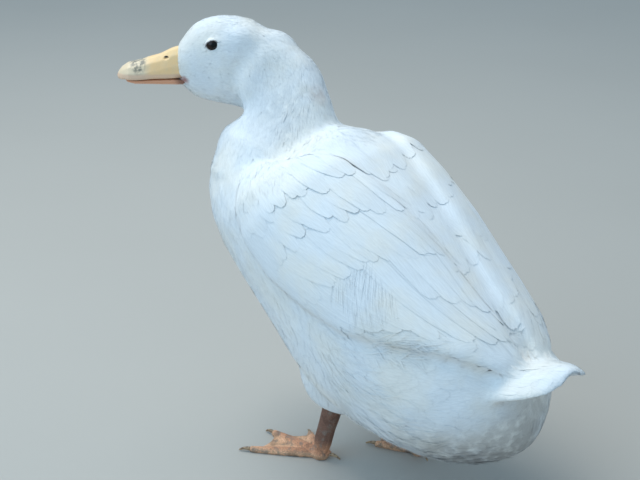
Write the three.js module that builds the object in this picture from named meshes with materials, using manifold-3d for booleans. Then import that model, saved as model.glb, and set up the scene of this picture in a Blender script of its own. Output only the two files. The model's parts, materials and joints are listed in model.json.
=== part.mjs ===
// A white farm duck at life size, standing with its left foot forward and its head turned to the left.
// Millimetres, +Z up. The duck faces -Y, so its left side is +X, and its feet stand on one level.
// Each feathered solid reaches to the tips of the plumage, and a 0.3 mm cut parts it from its neighbours.
import * as THREE from "three";
import { mergeVertices } from "three/addons/utils/BufferGeometryUtils.js";
import Module from "manifold-3d";

const wasm = await Module();
wasm.setup();

const TURN = 2 * Math.PI;
const radians = THREE.MathUtils.degToRad;
const PART_GAP = 0.3; // clearance between two neighbouring pieces
const SIDES = { left: 1, right: -1 };
const AHEAD = new THREE.Vector3(0, -1, 0);
const UPWARD = new THREE.Vector3(0, 0, 1);

// ---- driving sizes ----

// How steeply the trunk is carried, its centre, and how full its lower side is (1 is an ellipse).
const BODY = { pitch: 38, forward: -6, up: 181, belly: 0.76 };

// Trunk sections, from rump to breast: distance along the trunk, how far the middle of the section
// lies above the trunk's axis, half width, and half height.
const TRUNK_SECTIONS = [
  { along: -203, rise: 34, wide: 55, high: 54 },
  { along: -166, rise: 28, wide: 73, high: 69 },
  { along: -112, rise: 17, wide: 86, high: 87 },
  { along: -45, rise: 5, wide: 97, high: 104 },
  { along: 28, rise: 8, wide: 98, high: 104 },
  { along: 104, rise: 7, wide: 100, high: 95 },
  { along: 164, rise: -8, wide: 98, high: 80 },
  { along: 220, rise: -27, wide: 88, high: 63 },
];

// A folded wing, from the shoulder to the tips of the longest feathers: distance along the trunk, the
// two edges as angles up round the trunk from its side, the thickness, and how far it stands off.
const WING_SECTIONS = [
  { along: 148, low: 20, top: 48, thick: 4, lift: 0 },
  { along: 112, low: 0, top: 64, thick: 7, lift: 0 },
  { along: 62, low: -7, top: 73, thick: 9, lift: 0 },
  { along: 0, low: 4, top: 79, thick: 9, lift: 0 },
  { along: -55, low: 20, top: 83, thick: 8, lift: 0 },
  { along: -108, low: 46, top: 85, thick: 6, lift: 3 },
  { along: -166, low: 70, top: 87, thick: 4, lift: 12 },
];

const WING_EDGE = 2; // the step from the trunk up to the wing's edge

const TAIL = { forward: -150, up: 145, pitch: 20, droop: 11 }; // the root of the tail, and its slope
// Tail sections, from the root to the tip: distance along it, half width and half thickness.
const TAIL_SECTIONS = [
  { along: 0, wide: 38, thick: 16 },
  { along: 27, wide: 43, thick: 13 },
  { along: 50, wide: 43, thick: 9 },
  { along: 70, wide: 34, thick: 6 },
  { along: 87, wide: 17, thick: 3 },
];

// Neck sections, from inside the breast to inside the head: the middle of each and its radii.
const NECK_SECTIONS = [
  { left: 10, forward: 98, up: 250, wide: 80, deep: 76 },
  { left: 10, forward: 105, up: 290, wide: 74, deep: 75 },
  { left: 3, forward: 108, up: 330, wide: 47, deep: 48 },
  { left: 11, forward: 134, up: 360, wide: 43, deep: 45 },
  { left: 26, forward: 155, up: 376, wide: 37, deep: 40 },
];

const HEAD = { left: 41, forward: 172, up: 391, turn: 50, nod: 0 }; // a point just under the eyes' level
const EYE = { along: 1, rise: 5, radius: 7, aside: 19 };

// Head sections, from the nape to the base of the bill, in the head's own frame: distance towards the
// bill, the crown and the throat above the eyes' level, and half width.
const HEAD_SECTIONS = [
  { along: -74, crown: 6, throat: -56, wide: 30 },
  { along: -48, crown: 20, throat: -64, wide: 35 },
  { along: -22, crown: 27, throat: -63, wide: 33 },
  { along: 2, crown: 27.5, throat: -55.5, wide: 27.5 },
  { along: 20, crown: 20, throat: -50, wide: 22 },
  { along: 31, crown: 6.5, throat: -39.5, wide: 16.5 },
  { along: 37, crown: -1, throat: -34, wide: 13.5 },
];

// Upper bill, from inside the face to the tip: distance, ridge and cutting edge, and half width.
const UPPER_BILL_SECTIONS = [
  { along: 18, ridge: 2, edge: -29, wide: 12 },
  { along: 36, ridge: 0, edge: -28, wide: 12.5 },
  { along: 50, ridge: -7, edge: -29.5, wide: 12.5 },
  { along: 66, ridge: -11.5, edge: -31.5, wide: 13.5 },
  { along: 81, ridge: -17, edge: -32, wide: 14 },
  { along: 94, ridge: -24, edge: -30.5, wide: 9 },
];
const LOWER_BILL = { from: 20, to: 87, top: -33.6, wide: 11.5, deep: 6.5 };
const NAIL = { along: 91.5, left: 0, rise: -23, long: 8, wide: 5, high: 7 };
const NOSTRIL = { along: 46.8, rise: -10.5, long: 3.6, high: 1.7, turned: 18, deep: 4 };

const LEGS = {
  left: { left: 37, forward: 33, turned: 3 }, // where the heel stands, and the foot's heading
  right: { left: -38, forward: -29, turned: -8 },
};
const HOCK = { inward: 3, back: 24, up: 92 }; // from the heel up into the belly
const TARSUS = { deep: 10.5, wide: 8, heel: 9 };
const THIGH = { deep: 44, wide: 36, hem: 60 };
// Front toes of a left foot: heading outwards from the middle toe, length to the claw, and thickness.
const TOES = {
  inner: { heading: -34, length: 46, radius: 4.6 },
  middle: { heading: 0, length: 67, radius: 5.2 },
  outer: { heading: 34, length: 73, radius: 4.8 },
};
const HIND_TOE = { heading: -165, length: 14, radius: 3, up: 10 };
const WEB = { thick: 2.6, scallop: 0.8 };
const CLAW = { length: 9, radius: 2.3, root: 4 };

const PLUMAGE = 0xf1f4f6;
const HORN = 0xe3c27c;
const SKIN = 0xd98a4e;

// ---- shaping ----

/** A point given as distances to the duck's left, forward and up. */
function place(left, forward, up) {
  return new THREE.Vector3(left, -forward, up);
}

/** A smooth curve through one named size of a list of sections, as a function of t from 0 to 1. */
function sizeCurve(sections, key) {
  const points = sections.map((section, i) => new THREE.Vector3(i, section[key], 0));
  const curve = new THREE.CatmullRomCurve3(points, false, "catmullrom", 0.5);
  return (t) => curve.getPoint(t).y;
}

/** All the named sizes of a list of sections as smooth curves. */
function sizeCurves(sections) {
  return Object.fromEntries(Object.keys(sections[0]).map((key) => [key, sizeCurve(sections, key)]));
}

/** 1 along a body and 0 at its two ends, rounded like a ball over the given shares of its length. */
function roundEnds(t, first, last) {
  const start = Math.min(1, t / first);
  const end = Math.min(1, (1 - t) / last);
  return Math.sqrt(1 - (1 - start) ** 2) * Math.sqrt(1 - (1 - end) ** 2);
}

/** How far a body's surface moves along its axis when it grows: only its two ends do. */
function endward(t, grow) {
  return (2 * t - 1) ** 5 * grow;
}

/** A closed body: point(t, angle) gives its surface for t from one end to the other, 0 to 1. */
function closedBody(around, along, point) {
  const geometry = new THREE.SphereGeometry(1, around, along);
  const { position, uv } = geometry.attributes;
  for (let i = 0; i < position.count; i++) {
    const t = (1 - Math.cos(Math.PI * (1 - uv.getY(i)))) / 2;
    const { x, y, z } = point(t, (1 - uv.getX(i)) * TURN);
    position.setXYZ(i, x, y, z);
  }
  return solidOf(geometry);
}

/**
 * A rounded limb along a list of centre points. sizes(t) gives its two radii, across and deep, and
 * facing is a direction that the limb never runs along, from which its deep side is found.
 */
function limb({ around, along, centres, sizes, rounded, facing, grow = 0 }) {
  const path = new THREE.CatmullRomCurve3(centres);
  return closedBody(around, along, (t, angle) => {
    const heading = path.getTangent(t);
    const across = new THREE.Vector3().crossVectors(heading, facing).normalize();
    const deep = new THREE.Vector3().crossVectors(across, heading).normalize();
    const [a, b] = sizes(t);
    const ends = roundEnds(t, rounded, rounded);
    return path
      .getPoint(t)
      .addScaledVector(heading, endward(t, grow))
      .addScaledVector(across, Math.cos(angle) * (a + grow) * ends)
      .addScaledVector(deep, Math.sin(angle) * (b + grow) * ends);
  });
}

/** A geometry as a manifold-3d solid. */
function solidOf(geometry) {
  const bare = geometry.clone();
  bare.deleteAttribute("normal");
  bare.deleteAttribute("uv");
  const merged = mergeVertices(bare, 1e-3);
  const solid = new wasm.Manifold(
    new wasm.Mesh({
      numProp: 3,
      vertProperties: new Float32Array(merged.attributes.position.array),
      triVerts: new Uint32Array(merged.index.array),
    }),
  );
  if (solid.volume() > 0) return solid;
  // the points ran the other way round, so the faces are turned about
  const index = merged.index.array;
  for (let i = 0; i < index.length; i += 3) [index[i], index[i + 1]] = [index[i + 1], index[i]];
  return new wasm.Manifold(
    new wasm.Mesh({
      numProp: 3,
      vertProperties: new Float32Array(merged.attributes.position.array),
      triVerts: new Uint32Array(index),
    }),
  );
}

/** The largest single body of a solid, without the crumbs that a cut can leave. */
function mainBody(solid) {
  return solid.decompose().reduce((a, b) => (a.volume() > b.volume() ? a : b));
}

/** A manifold-3d solid as a three.js geometry. */
function geometryOf(solid) {
  const { vertProperties, triVerts } = solid.getMesh();
  const geometry = new THREE.BufferGeometry();
  geometry.setAttribute("position", new THREE.BufferAttribute(vertProperties, 3));
  geometry.setIndex(new THREE.BufferAttribute(triVerts, 1));
  geometry.computeVertexNormals();
  return geometry;
}

// ---- trunk ----

/** A point of the trunk's frame: along its axis, to the left, and above the axis. */
function onTrunkFrame(along, left, rise) {
  const pitch = radians(BODY.pitch);
  return place(
    left,
    BODY.forward + along * Math.cos(pitch) - rise * Math.sin(pitch),
    BODY.up + along * Math.sin(pitch) + rise * Math.cos(pitch),
  );
}

const trunkSize = sizeCurves(TRUNK_SECTIONS);

/** The trunk's surface, grown outwards by some millimetres. */
function trunkPoint(t, angle, grow) {
  const ends = roundEnds(t, 0.3, 0.32);
  const across = Math.cos(angle);
  const full = Math.sin(angle) < 0 ? Math.sign(across) * Math.abs(across) ** BODY.belly : across;
  return onTrunkFrame(
    trunkSize.along(t) + endward(t, grow),
    full * (trunkSize.wide(t) + grow) * ends,
    trunkSize.rise(t) + Math.sin(angle) * (trunkSize.high(t) + grow) * ends,
  );
}

/** The trunk's t at a distance along its axis, by halving. */
function trunkShareAt(along) {
  let [low, high] = [0, 1];
  for (let step = 0; step < 24; step++) {
    const middle = (low + high) / 2;
    if (trunkSize.along(middle) < along) low = middle;
    else high = middle;
  }
  return low;
}

const trunkSolid = (grow) => closedBody(28, 18, (t, angle) => trunkPoint(t, angle, grow));

// ---- wings ----

const wingSize = sizeCurves(WING_SECTIONS);

/** A folded wing: a shell over the trunk's side, thick along its middle and thin at its edges. */
function wingSolid(side, grow) {
  return closedBody(20, 12, (t, angle) => {
    const ends = roundEnds(t, 0.22, 0.12);
    const middle = (wingSize.low(t) + wingSize.top(t)) / 2;
    const reach = (wingSize.top(t) - wingSize.low(t)) / 2 + grow;
    const inside = Math.sin(angle) < -0.1;
    const crown = Math.max(0, Math.sin(angle)) ** 0.6;
    const depth = inside ? -grow : WING_EDGE + wingSize.thick(t) * crown + grow;
    const turned = radians(middle - reach * ends * Math.cos(angle));
    const along = wingSize.along(t) - endward(t, grow);
    const point = trunkPoint(trunkShareAt(along), turned, wingSize.lift(t) + depth * ends);
    point.x *= side;
    return point;
  });
}

// ---- tail ----

const tailSize = sizeCurves(TAIL_SECTIONS);

/** The tail, a fan with its edges lower than its middle. */
function tailSolid() {
  const pitch = radians(TAIL.pitch);
  return closedBody(20, 8, (t, angle) => {
    const ends = roundEnds(t, 0.1, 0.14);
    const across = Math.cos(angle);
    const left = across * tailSize.wide(t) * ends;
    const rise = Math.sin(angle) * tailSize.thick(t) * ends - TAIL.droop * across ** 2 * ends;
    const along = tailSize.along(t);
    return place(
      left,
      TAIL.forward - along * Math.cos(pitch) + rise * Math.sin(pitch),
      TAIL.up + along * Math.sin(pitch) + rise * Math.cos(pitch),
    );
  });
}

// ---- neck and head ----

const neckSize = sizeCurves(NECK_SECTIONS);

const neckSolid = (grow) =>
  limb({
    around: 22,
    along: 10,
    centres: NECK_SECTIONS.map(({ left, forward, up }) => place(left, forward, up)),
    sizes: (t) => [neckSize.wide(t), neckSize.deep(t)],
    rounded: 0.2,
    facing: AHEAD,
    grow,
  });

/** A point of the head's frame: towards the bill, to the head's left, and up from the eyes' level. */
function onHeadFrame(along, left, rise) {
  const turn = radians(HEAD.turn);
  const nod = radians(HEAD.nod);
  const reach = along * Math.cos(nod) + rise * Math.sin(nod);
  const lift = rise * Math.cos(nod) - along * Math.sin(nod);
  return place(
    HEAD.left + reach * Math.sin(turn) + left * Math.cos(turn),
    HEAD.forward + reach * Math.cos(turn) - left * Math.sin(turn),
    HEAD.up + lift,
  );
}

const headSize = sizeCurves(HEAD_SECTIONS);

const headSolid = (grow) =>
  closedBody(22, 15, (t, angle) => {
    const ends = roundEnds(t, 0.3, 0.08);
    const middle = (headSize.crown(t) + headSize.throat(t)) / 2;
    const high = (headSize.crown(t) - headSize.throat(t)) / 2;
    return onHeadFrame(
      headSize.along(t) + endward(t, grow),
      Math.cos(angle) * (headSize.wide(t) + grow) * ends,
      middle + Math.sin(angle) * (high + grow) * ends,
    );
  });

/** An ellipsoid in the head's frame, turned about the head's left-right axis. */
function headBall({ along, left, rise }, [long, wide, high], turned = 0, around = 10) {
  const tilt = radians(turned);
  return closedBody(around, around - 2, (t, angle) => {
    const ring = Math.sin(Math.PI * Math.acos(1 - 2 * t) / Math.PI);
    const x = (2 * t - 1) * long;
    const z = Math.sin(angle) * ring * high;
    return onHeadFrame(
      along + x * Math.cos(tilt) + z * Math.sin(tilt),
      left + Math.cos(angle) * ring * wide,
      rise + z * Math.cos(tilt) - x * Math.sin(tilt),
    );
  });
}

const eyeSolid = (side, grow) =>
  headBall({ ...EYE, left: side * EYE.aside }, new Array(3).fill(EYE.radius + grow), 0, 12);

const billSize = sizeCurves(UPPER_BILL_SECTIONS);

/** The upper bill: a ridge at the face that flattens to a broad, round tip. */
function upperBillSolid(grow) {
  return closedBody(14, 11, (t, angle) => {
    const ends = roundEnds(t, 0.05, 0.16);
    const up = Math.sin(angle);
    const height = billSize.ridge(t) - billSize.edge(t);
    const lift = up > 0 ? (height + grow) * up ** 1.15 : (1.6 + grow) * up;
    const across = Math.sign(Math.cos(angle)) * Math.abs(Math.cos(angle)) ** 0.8;
    const left = across * (billSize.wide(t) + grow) * ends;
    return onHeadFrame(billSize.along(t), left, billSize.edge(t) + lift * ends + (1 - ends) * 2);
  });
}

/** The lower bill: a shallow tray under the upper one. */
function lowerBillSolid() {
  return closedBody(12, 8, (t, angle) => {
    const ends = roundEnds(t, 0.08, 0.16);
    const share = THREE.MathUtils.lerp(LOWER_BILL.from, LOWER_BILL.to, t);
    const up = Math.sin(angle);
    const lift = up > 0 ? up * 1.2 : up * LOWER_BILL.deep * (1 - 0.45 * t);
    const left = Math.cos(angle) * LOWER_BILL.wide * (1 + 0.06 * t) * ends;
    return onHeadFrame(share, left, LOWER_BILL.top + lift * ends);
  });
}

const nailSolid = (grow) => headBall(NAIL, [NAIL.long + grow, NAIL.wide + grow, NAIL.high + grow]);

/** The cut of one nostril, sunk into the side of the upper bill. */
function nostrilCut(side) {
  const where = { along: NOSTRIL.along, left: side * 9.5, rise: NOSTRIL.rise };
  return headBall(where, [NOSTRIL.long, NOSTRIL.deep, NOSTRIL.high], NOSTRIL.turned, 8);
}

// ---- legs and feet ----

/** A point seen from a heel: outwards to the side, forward and up, turned with the foot. */
function fromHeel(sideName, out, ahead, up, turned = 0) {
  const leg = LEGS[sideName];
  const side = SIDES[sideName];
  const turn = radians(turned);
  const left = side * out;
  return place(
    leg.left + left * Math.cos(turn) + ahead * Math.sin(turn),
    leg.forward + ahead * Math.cos(turn) - left * Math.sin(turn),
    up,
  );
}

/** The scaly shank, from the heel up into the belly. */
function tarsusSolid(sideName, grow) {
  const centres = [
    fromHeel(sideName, 0, 0, TARSUS.heel - 4),
    fromHeel(sideName, -HOCK.inward * 0.3, -HOCK.back * 0.3, HOCK.up * 0.35),
    fromHeel(sideName, -HOCK.inward * 0.7, -HOCK.back * 0.7, HOCK.up * 0.7),
    fromHeel(sideName, -HOCK.inward, -HOCK.back, HOCK.up),
  ];
  const waist = (t) => 1 - 0.16 * Math.sin(Math.PI * Math.min(1, t * 1.3)) + 0.18 * t;
  return limb({
    around: 10,
    along: 7,
    centres,
    sizes: (t) => [TARSUS.wide * waist(t), TARSUS.deep * waist(t)],
    rounded: 0.12,
    facing: AHEAD,
    grow,
  });
}

/** The feathered end of the thigh, where the shank leaves the belly. */
function thighSolid(sideName, grow) {
  const lean = (up) => (HOCK.back * up) / HOCK.up;
  const centres = [0, 22, 46, 72].map((rise) =>
    fromHeel(sideName, -2, -lean(THIGH.hem + rise), THIGH.hem + rise),
  );
  const swell = (t) => 0.42 + 0.6 * Math.sin((Math.PI / 2) * Math.min(1, t * 1.6));
  return limb({
    around: 16,
    along: 8,
    centres,
    sizes: (t) => [THIGH.wide * swell(t), THIGH.deep * swell(t)],
    rounded: 0.14,
    facing: AHEAD,
    grow,
  });
}

/** Where a front toe lies at a share of its length. */
function toePoint(sideName, { heading, length }, share, up) {
  const turn = radians(heading);
  const reach = share * length;
  return fromHeel(sideName, reach * Math.sin(turn), reach * Math.cos(turn), up, LEGS[sideName].turned);
}

/** One toe: a tapering limb with a swelling at each joint. */
function toeSolid(sideName, toe, rise = 0) {
  const { radius } = toe;
  const centres = [0, 0.33, 0.66, 1].map((share) =>
    toePoint(sideName, toe, share, radius * (1 - 0.35 * share) * 0.9 + rise * (1 - share * 0.6)),
  );
  const thick = (t) => radius * (1.1 - 0.42 * t) * (1 + 0.07 * Math.cos(TURN * 3 * t));
  return limb({
    around: 8,
    along: 7,
    centres,
    sizes: (t) => [thick(t), thick(t) * 0.95],
    rounded: 0.1,
    facing: UPWARD,
  });
}

/** A claw past the end of a toe, curving down to the ground. */
function clawSolid(sideName, toe, rise, grow) {
  const root = 1 - CLAW.root / toe.length;
  const tip = 1 + CLAW.length / toe.length;
  const high = toe.radius * 0.62 + rise * 0.4;
  const centres = [
    toePoint(sideName, toe, root, high),
    toePoint(sideName, toe, (root + tip) / 2, high + 0.6),
    toePoint(sideName, toe, tip, 1 + rise * 0.2),
  ];
  return limb({
    around: 6,
    along: 5,
    centres,
    sizes: (t) => [CLAW.radius * (1 - 0.7 * t), CLAW.radius * (1 - 0.65 * t)],
    rounded: 0.12,
    facing: UPWARD,
    grow,
  });
}

/** The web between the three front toes, with its front edge curved in between the toe tips. */
function webSolid(sideName) {
  const ends = ["inner", "middle", "outer"].map((name) => toePoint(sideName, TOES[name], 0.93, 0));
  const heel = fromHeel(sideName, 0, 2, 0);
  const outline = new THREE.Shape().moveTo(heel.x, heel.y).lineTo(ends[0].x, ends[0].y);
  for (let i = 0; i + 1 < ends.length; i++) {
    const middle = ends[i].clone().add(ends[i + 1]).multiplyScalar(0.5);
    const bend = heel.clone().lerp(middle, WEB.scallop);
    outline.quadraticCurveTo(bend.x, bend.y, ends[i + 1].x, ends[i + 1].y);
  }
  outline.lineTo(heel.x, heel.y);
  return solidOf(
    new THREE.ExtrudeGeometry(outline, { depth: WEB.thick, bevelEnabled: false, curveSegments: 5 }),
  );
}

/** A foot: three webbed toes and the small hind toe, flat under the sole. */
function footSolid(sideName) {
  const toes = Object.values(TOES).map((toe) => toeSolid(sideName, toe));
  const hind = toeSolid(sideName, HIND_TOE, HIND_TOE.up);
  const pad = closedBody(8, 6, (t, angle) => {
    const ring = Math.sqrt(1 - (2 * t - 1) ** 2);
    return fromHeel(sideName, Math.cos(angle) * ring * 8.5, (2 * t - 1) * 10, 5 + Math.sin(angle) * ring * 7);
  });
  const ground = new THREE.BoxGeometry(400, 400, 40).translate(0, 0, -20);
  return [...toes, hind, pad].reduce((foot, piece) => foot.add(piece), webSolid(sideName)).subtract(solidOf(ground));
}

// ---- assembly ----

const duck = new THREE.Group();

/** Adds a named piece to the duck. */
function addPart(name, solid, color, roughness = 0.9) {
  const material = new THREE.MeshStandardMaterial({ color, roughness });
  const mesh = new THREE.Mesh(geometryOf(mainBody(solid)), material);
  mesh.name = name;
  duck.add(mesh);
}

const trunkRoom = trunkSolid(PART_GAP);
const headRoom = headSolid(PART_GAP);

addPart("trunk", trunkSolid(0), PLUMAGE);
const wingRoom = wingSolid(1, PART_GAP).add(wingSolid(-1, PART_GAP));
addPart("neck", neckSolid(0).subtract(trunkRoom).subtract(headRoom).subtract(wingRoom), PLUMAGE);
addPart("tail", tailSolid().subtract(trunkRoom).subtract(wingRoom), PLUMAGE);

let head = headSolid(0);
let upperBill = upperBillSolid(0).subtract(headRoom).subtract(nailSolid(PART_GAP));
for (const [sideName, side] of Object.entries(SIDES)) {
  head = head.subtract(eyeSolid(side, PART_GAP));
  upperBill = upperBill.subtract(nostrilCut(side));
  addPart(`eye_${sideName}`, eyeSolid(side, 0), 0x14100e, 0.1);
}
addPart("head", head, PLUMAGE);
addPart("upper_bill", upperBill, HORN, 0.5);
addPart("bill_nail", upperBillSolid(0).intersect(nailSolid(0)), HORN, 0.4);
addPart("lower_bill", lowerBillSolid().subtract(headRoom).subtract(upperBillSolid(PART_GAP)), HORN, 0.5);

for (const [sideName, side] of Object.entries(SIDES)) {
  const room = trunkRoom.add(thighSolid(sideName, PART_GAP));
  addPart(`wing_${sideName}`, wingSolid(side, 0).subtract(trunkRoom), PLUMAGE);
  addPart(`thigh_${sideName}`, thighSolid(sideName, 0).subtract(trunkRoom), PLUMAGE);
  addPart(`tarsus_${sideName}`, tarsusSolid(sideName, 0).subtract(room), SKIN, 0.7);
  let foot = footSolid(sideName).subtract(tarsusSolid(sideName, PART_GAP));

  for (const [toeName, toe] of Object.entries({ ...TOES, hind: HIND_TOE })) {
    const rise = toeName === "hind" ? HIND_TOE.up : 0;
    foot = foot.subtract(clawSolid(sideName, toe, rise, PART_GAP));
    addPart(`claw_${toeName}_${sideName}`, clawSolid(sideName, toe, rise, 0), HORN, 0.5);
  }
  addPart(`foot_${sideName}`, foot, SKIN, 0.7);
}

// The origin is on the ground, under the middle of the duck.
const reach = new THREE.Box3().setFromObject(duck);
const middle = reach.getCenter(new THREE.Vector3());
duck.position.set(-middle.x, -middle.y, -reach.min.z);

export default duck;
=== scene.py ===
"""A white farm duck at life size, standing as a museum model: skin, plumage, bill, eyes and webbed feet.

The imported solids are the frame. One skin replaces the flesh, and the plumage is built on it feather by
feather: small feathers scattered over the body and the tail, and the large feathers of the wings and the
shoulders laid in their rows. Metres throughout; the duck faces -Y, and its left side is +X.
"""

from __future__ import annotations

import json
import logging
import math
from collections.abc import Callable, Iterable, Mapping, Sequence
from dataclasses import dataclass, field, fields
from enum import Enum
from typing import ClassVar

import bmesh
import bpy
import numpy as np
from mathutils import Matrix, Vector
from mathutils.bvhtree import BVHTree
from mathutils.kdtree import KDTree

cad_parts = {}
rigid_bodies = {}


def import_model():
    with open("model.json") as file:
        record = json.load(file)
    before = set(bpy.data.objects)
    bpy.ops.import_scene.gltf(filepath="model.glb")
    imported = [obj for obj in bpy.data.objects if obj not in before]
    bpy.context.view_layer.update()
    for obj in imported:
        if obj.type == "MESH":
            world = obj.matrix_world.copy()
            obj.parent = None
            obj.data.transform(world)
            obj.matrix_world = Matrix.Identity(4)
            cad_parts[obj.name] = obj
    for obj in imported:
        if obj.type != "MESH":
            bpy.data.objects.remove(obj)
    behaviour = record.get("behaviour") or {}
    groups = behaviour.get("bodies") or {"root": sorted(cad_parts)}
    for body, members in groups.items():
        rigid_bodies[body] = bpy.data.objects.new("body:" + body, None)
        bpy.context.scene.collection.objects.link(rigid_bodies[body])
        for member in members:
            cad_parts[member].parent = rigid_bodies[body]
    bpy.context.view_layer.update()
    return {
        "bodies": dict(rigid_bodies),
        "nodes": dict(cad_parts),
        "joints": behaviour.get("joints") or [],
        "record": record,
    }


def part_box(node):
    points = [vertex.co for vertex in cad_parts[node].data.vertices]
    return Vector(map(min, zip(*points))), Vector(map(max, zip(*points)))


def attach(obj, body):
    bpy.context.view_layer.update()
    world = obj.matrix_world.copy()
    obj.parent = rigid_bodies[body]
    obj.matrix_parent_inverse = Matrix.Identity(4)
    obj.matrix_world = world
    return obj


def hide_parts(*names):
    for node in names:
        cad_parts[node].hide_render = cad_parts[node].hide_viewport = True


LOG = logging.getLogger("duck")
MM = 0.001
BAKE_MAP = "OFBake"  # the map that every coat piece is coloured through
VANE_MAP = "Vane"  # where a point lies on its own feather, in metres: across it, and along it
TONE = "Tone"  # how much lighter or darker one feather is than the next
PATCH = 0.003  # the size of one feather's patch on the bake map

Array = np.ndarray
Socket = bpy.types.NodeSocket


class Side(Enum):
    """The two sides of the duck."""

    LEFT = 1
    RIGHT = -1

    @property
    def word(self) -> str:
        """The side's name, as the frame's nodes spell it."""
        return self.name.lower()


# ---------------------------------------------------------------- small helpers


def srgb(code: str) -> tuple[float, float, float, float]:
    """Turns an sRGB hex colour to the linear colour that Blender's sockets hold.

    Args:
        code: six hex digits after a hash sign.

    Returns:
        Red, green, blue and an alpha of 1.
    """
    parts = [int(code[i : i + 2], 16) / 255 for i in (1, 3, 5)]
    linear = [p / 12.92 if p <= 0.04045 else ((p + 0.055) / 1.055) ** 2.4 for p in parts]
    return (*linear, 1.0)


def add_node(
    tree: bpy.types.NodeTree,
    kind: str,
    sockets: Mapping[str | int, object] | None = None,
    **settings: object,
) -> bpy.types.Node:
    """Adds a shader node with its settings, and sets or links its sockets.

    Args:
        tree: the node tree that gets it.
        kind: the node's type name, without the ShaderNode that it starts with.
        sockets: for each input's name or number, a value, or the output that feeds it.
        settings: the node's own properties.

    Returns:
        The new node.
    """
    made = tree.nodes.new("ShaderNode" + kind)
    for name, value in settings.items():
        setattr(made, name, value)
    for name, value in (sockets or {}).items():
        if isinstance(value, bpy.types.NodeSocket):
            tree.links.new(value, made.inputs[name])
        else:
            made.inputs[name].default_value = value
    return made


def unit(vectors: Array) -> Array:
    """Scales each vector of an array to length one."""
    return vectors / np.maximum(np.linalg.norm(vectors, axis=-1, keepdims=True), 1e-12)


def flat_on(vectors: Array, normals: Array) -> Array:
    """Lays each vector flat on the plane that its normal stands on, at length one."""
    return unit(vectors - normals * np.sum(vectors * normals, axis=-1, keepdims=True))


def ease(value: Array, low: float, high: float) -> Array:
    """Rises smoothly from 0 at low to 1 at high."""
    t = np.clip((value - low) / (high - low), 0.0, 1.0)
    return t * t * (3 - 2 * t)


def within(
    points: Array, place: Sequence[float], full: float, far: float, squash: Sequence[float] = (1, 1, 1)
) -> Array:
    """Tells how much points belong to a place.

    Args:
        points: the points, one row each.
        place: the place.
        full: up to this distance a point belongs to it wholly.
        far: from this distance on it doesn't.
        squash: what each direction's distance counts for.

    Returns:
        A share for each point, from 1 down to 0.
    """
    return 1 - ease(np.linalg.norm((points - np.array(place)) * squash, axis=1), full, far)


def centre_of(node: str) -> Vector:
    """The middle of a CAD node's box."""
    low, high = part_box(node)
    return (low + high) / 2


def link(name: str, mesh: bpy.types.Mesh, finish: "Finish") -> bpy.types.Object:
    """Puts a mesh in the scene as an object at the origin, with its finish, riding on the duck.

    Args:
        name: the piece's name.
        mesh: its mesh, in place.
        finish: its finish.

    Returns:
        The new object.
    """
    made = bpy.data.objects.new(name, mesh)
    bpy.context.scene.collection.objects.link(made)
    mesh.materials.append(finish.material())
    mesh.polygons.foreach_set("use_smooth", np.ones(len(mesh.polygons), bool))
    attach(made, "root")
    LOG.info("%s: %d faces", name, len(mesh.polygons))
    return made


def mesh_from(name: str, points: Array, quads: Array) -> bpy.types.Mesh:
    """Makes a mesh of many quads from arrays.

    Args:
        name: the mesh's name.
        points: the vertices, one row each.
        quads: four vertex numbers for each face.

    Returns:
        The new mesh.
    """
    mesh = bpy.data.meshes.new(name)
    mesh.vertices.add(len(points))
    mesh.vertices.foreach_set("co", points.astype(np.float32).ravel())
    mesh.loops.add(quads.size)
    mesh.loops.foreach_set("vertex_index", quads.astype(np.int32).ravel())
    mesh.polygons.add(len(quads))
    mesh.polygons.foreach_set("loop_start", np.arange(0, quads.size, 4, dtype=np.int32))
    mesh.update(calc_edges=True)
    return mesh


def mesh_of(name: str, form: bmesh.types.BMesh) -> bpy.types.Mesh:
    """Turns a bmesh to a mesh and frees it.

    Args:
        name: the mesh's name.
        form: the bmesh.

    Returns:
        The new mesh.
    """
    mesh = bpy.data.meshes.new(name)
    form.to_mesh(mesh)
    form.free()
    return mesh


def vertices_of(mesh: bpy.types.Mesh) -> Array:
    """Reads the vertices of a mesh.

    Args:
        mesh: the mesh.

    Returns:
        Their places, one row each.
    """
    points = np.empty(len(mesh.vertices) * 3, np.float32)
    mesh.vertices.foreach_get("co", points)
    return points.reshape(-1, 3).astype(float)


def normals_of(mesh: bpy.types.Mesh) -> Array:
    """Reads the smooth normals at the vertices of a mesh.

    Args:
        mesh: the mesh.

    Returns:
        The normals, one row each.
    """
    normals = np.empty(len(mesh.vertices) * 3, np.float32)
    mesh.vertex_normals.foreach_get("vector", normals)
    return normals.reshape(-1, 3).astype(float)


def move_vertices(mesh: bpy.types.Mesh, points: Array) -> None:
    """Gives the vertices of a mesh new places."""
    mesh.vertices.foreach_set("co", points.astype(np.float32).ravel())
    mesh.update()


def swelled_copy(source: bpy.types.Mesh, swell: float) -> bmesh.types.BMesh:
    """Copies a CAD node's mesh, closed and a little swelled, so that neighbours reach into each other.

    Args:
        source: the node's mesh.
        swell: how far each vertex moves out.

    Returns:
        A new bmesh.
    """
    copy = bmesh.new()
    copy.from_mesh(source)
    bmesh.ops.remove_doubles(copy, verts=copy.verts, dist=0.01 * MM)
    bmesh.ops.triangulate(copy, faces=copy.faces)
    copy.normal_update()
    for vertex in copy.verts:
        vertex.co += vertex.normal * swell
    return copy


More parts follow.
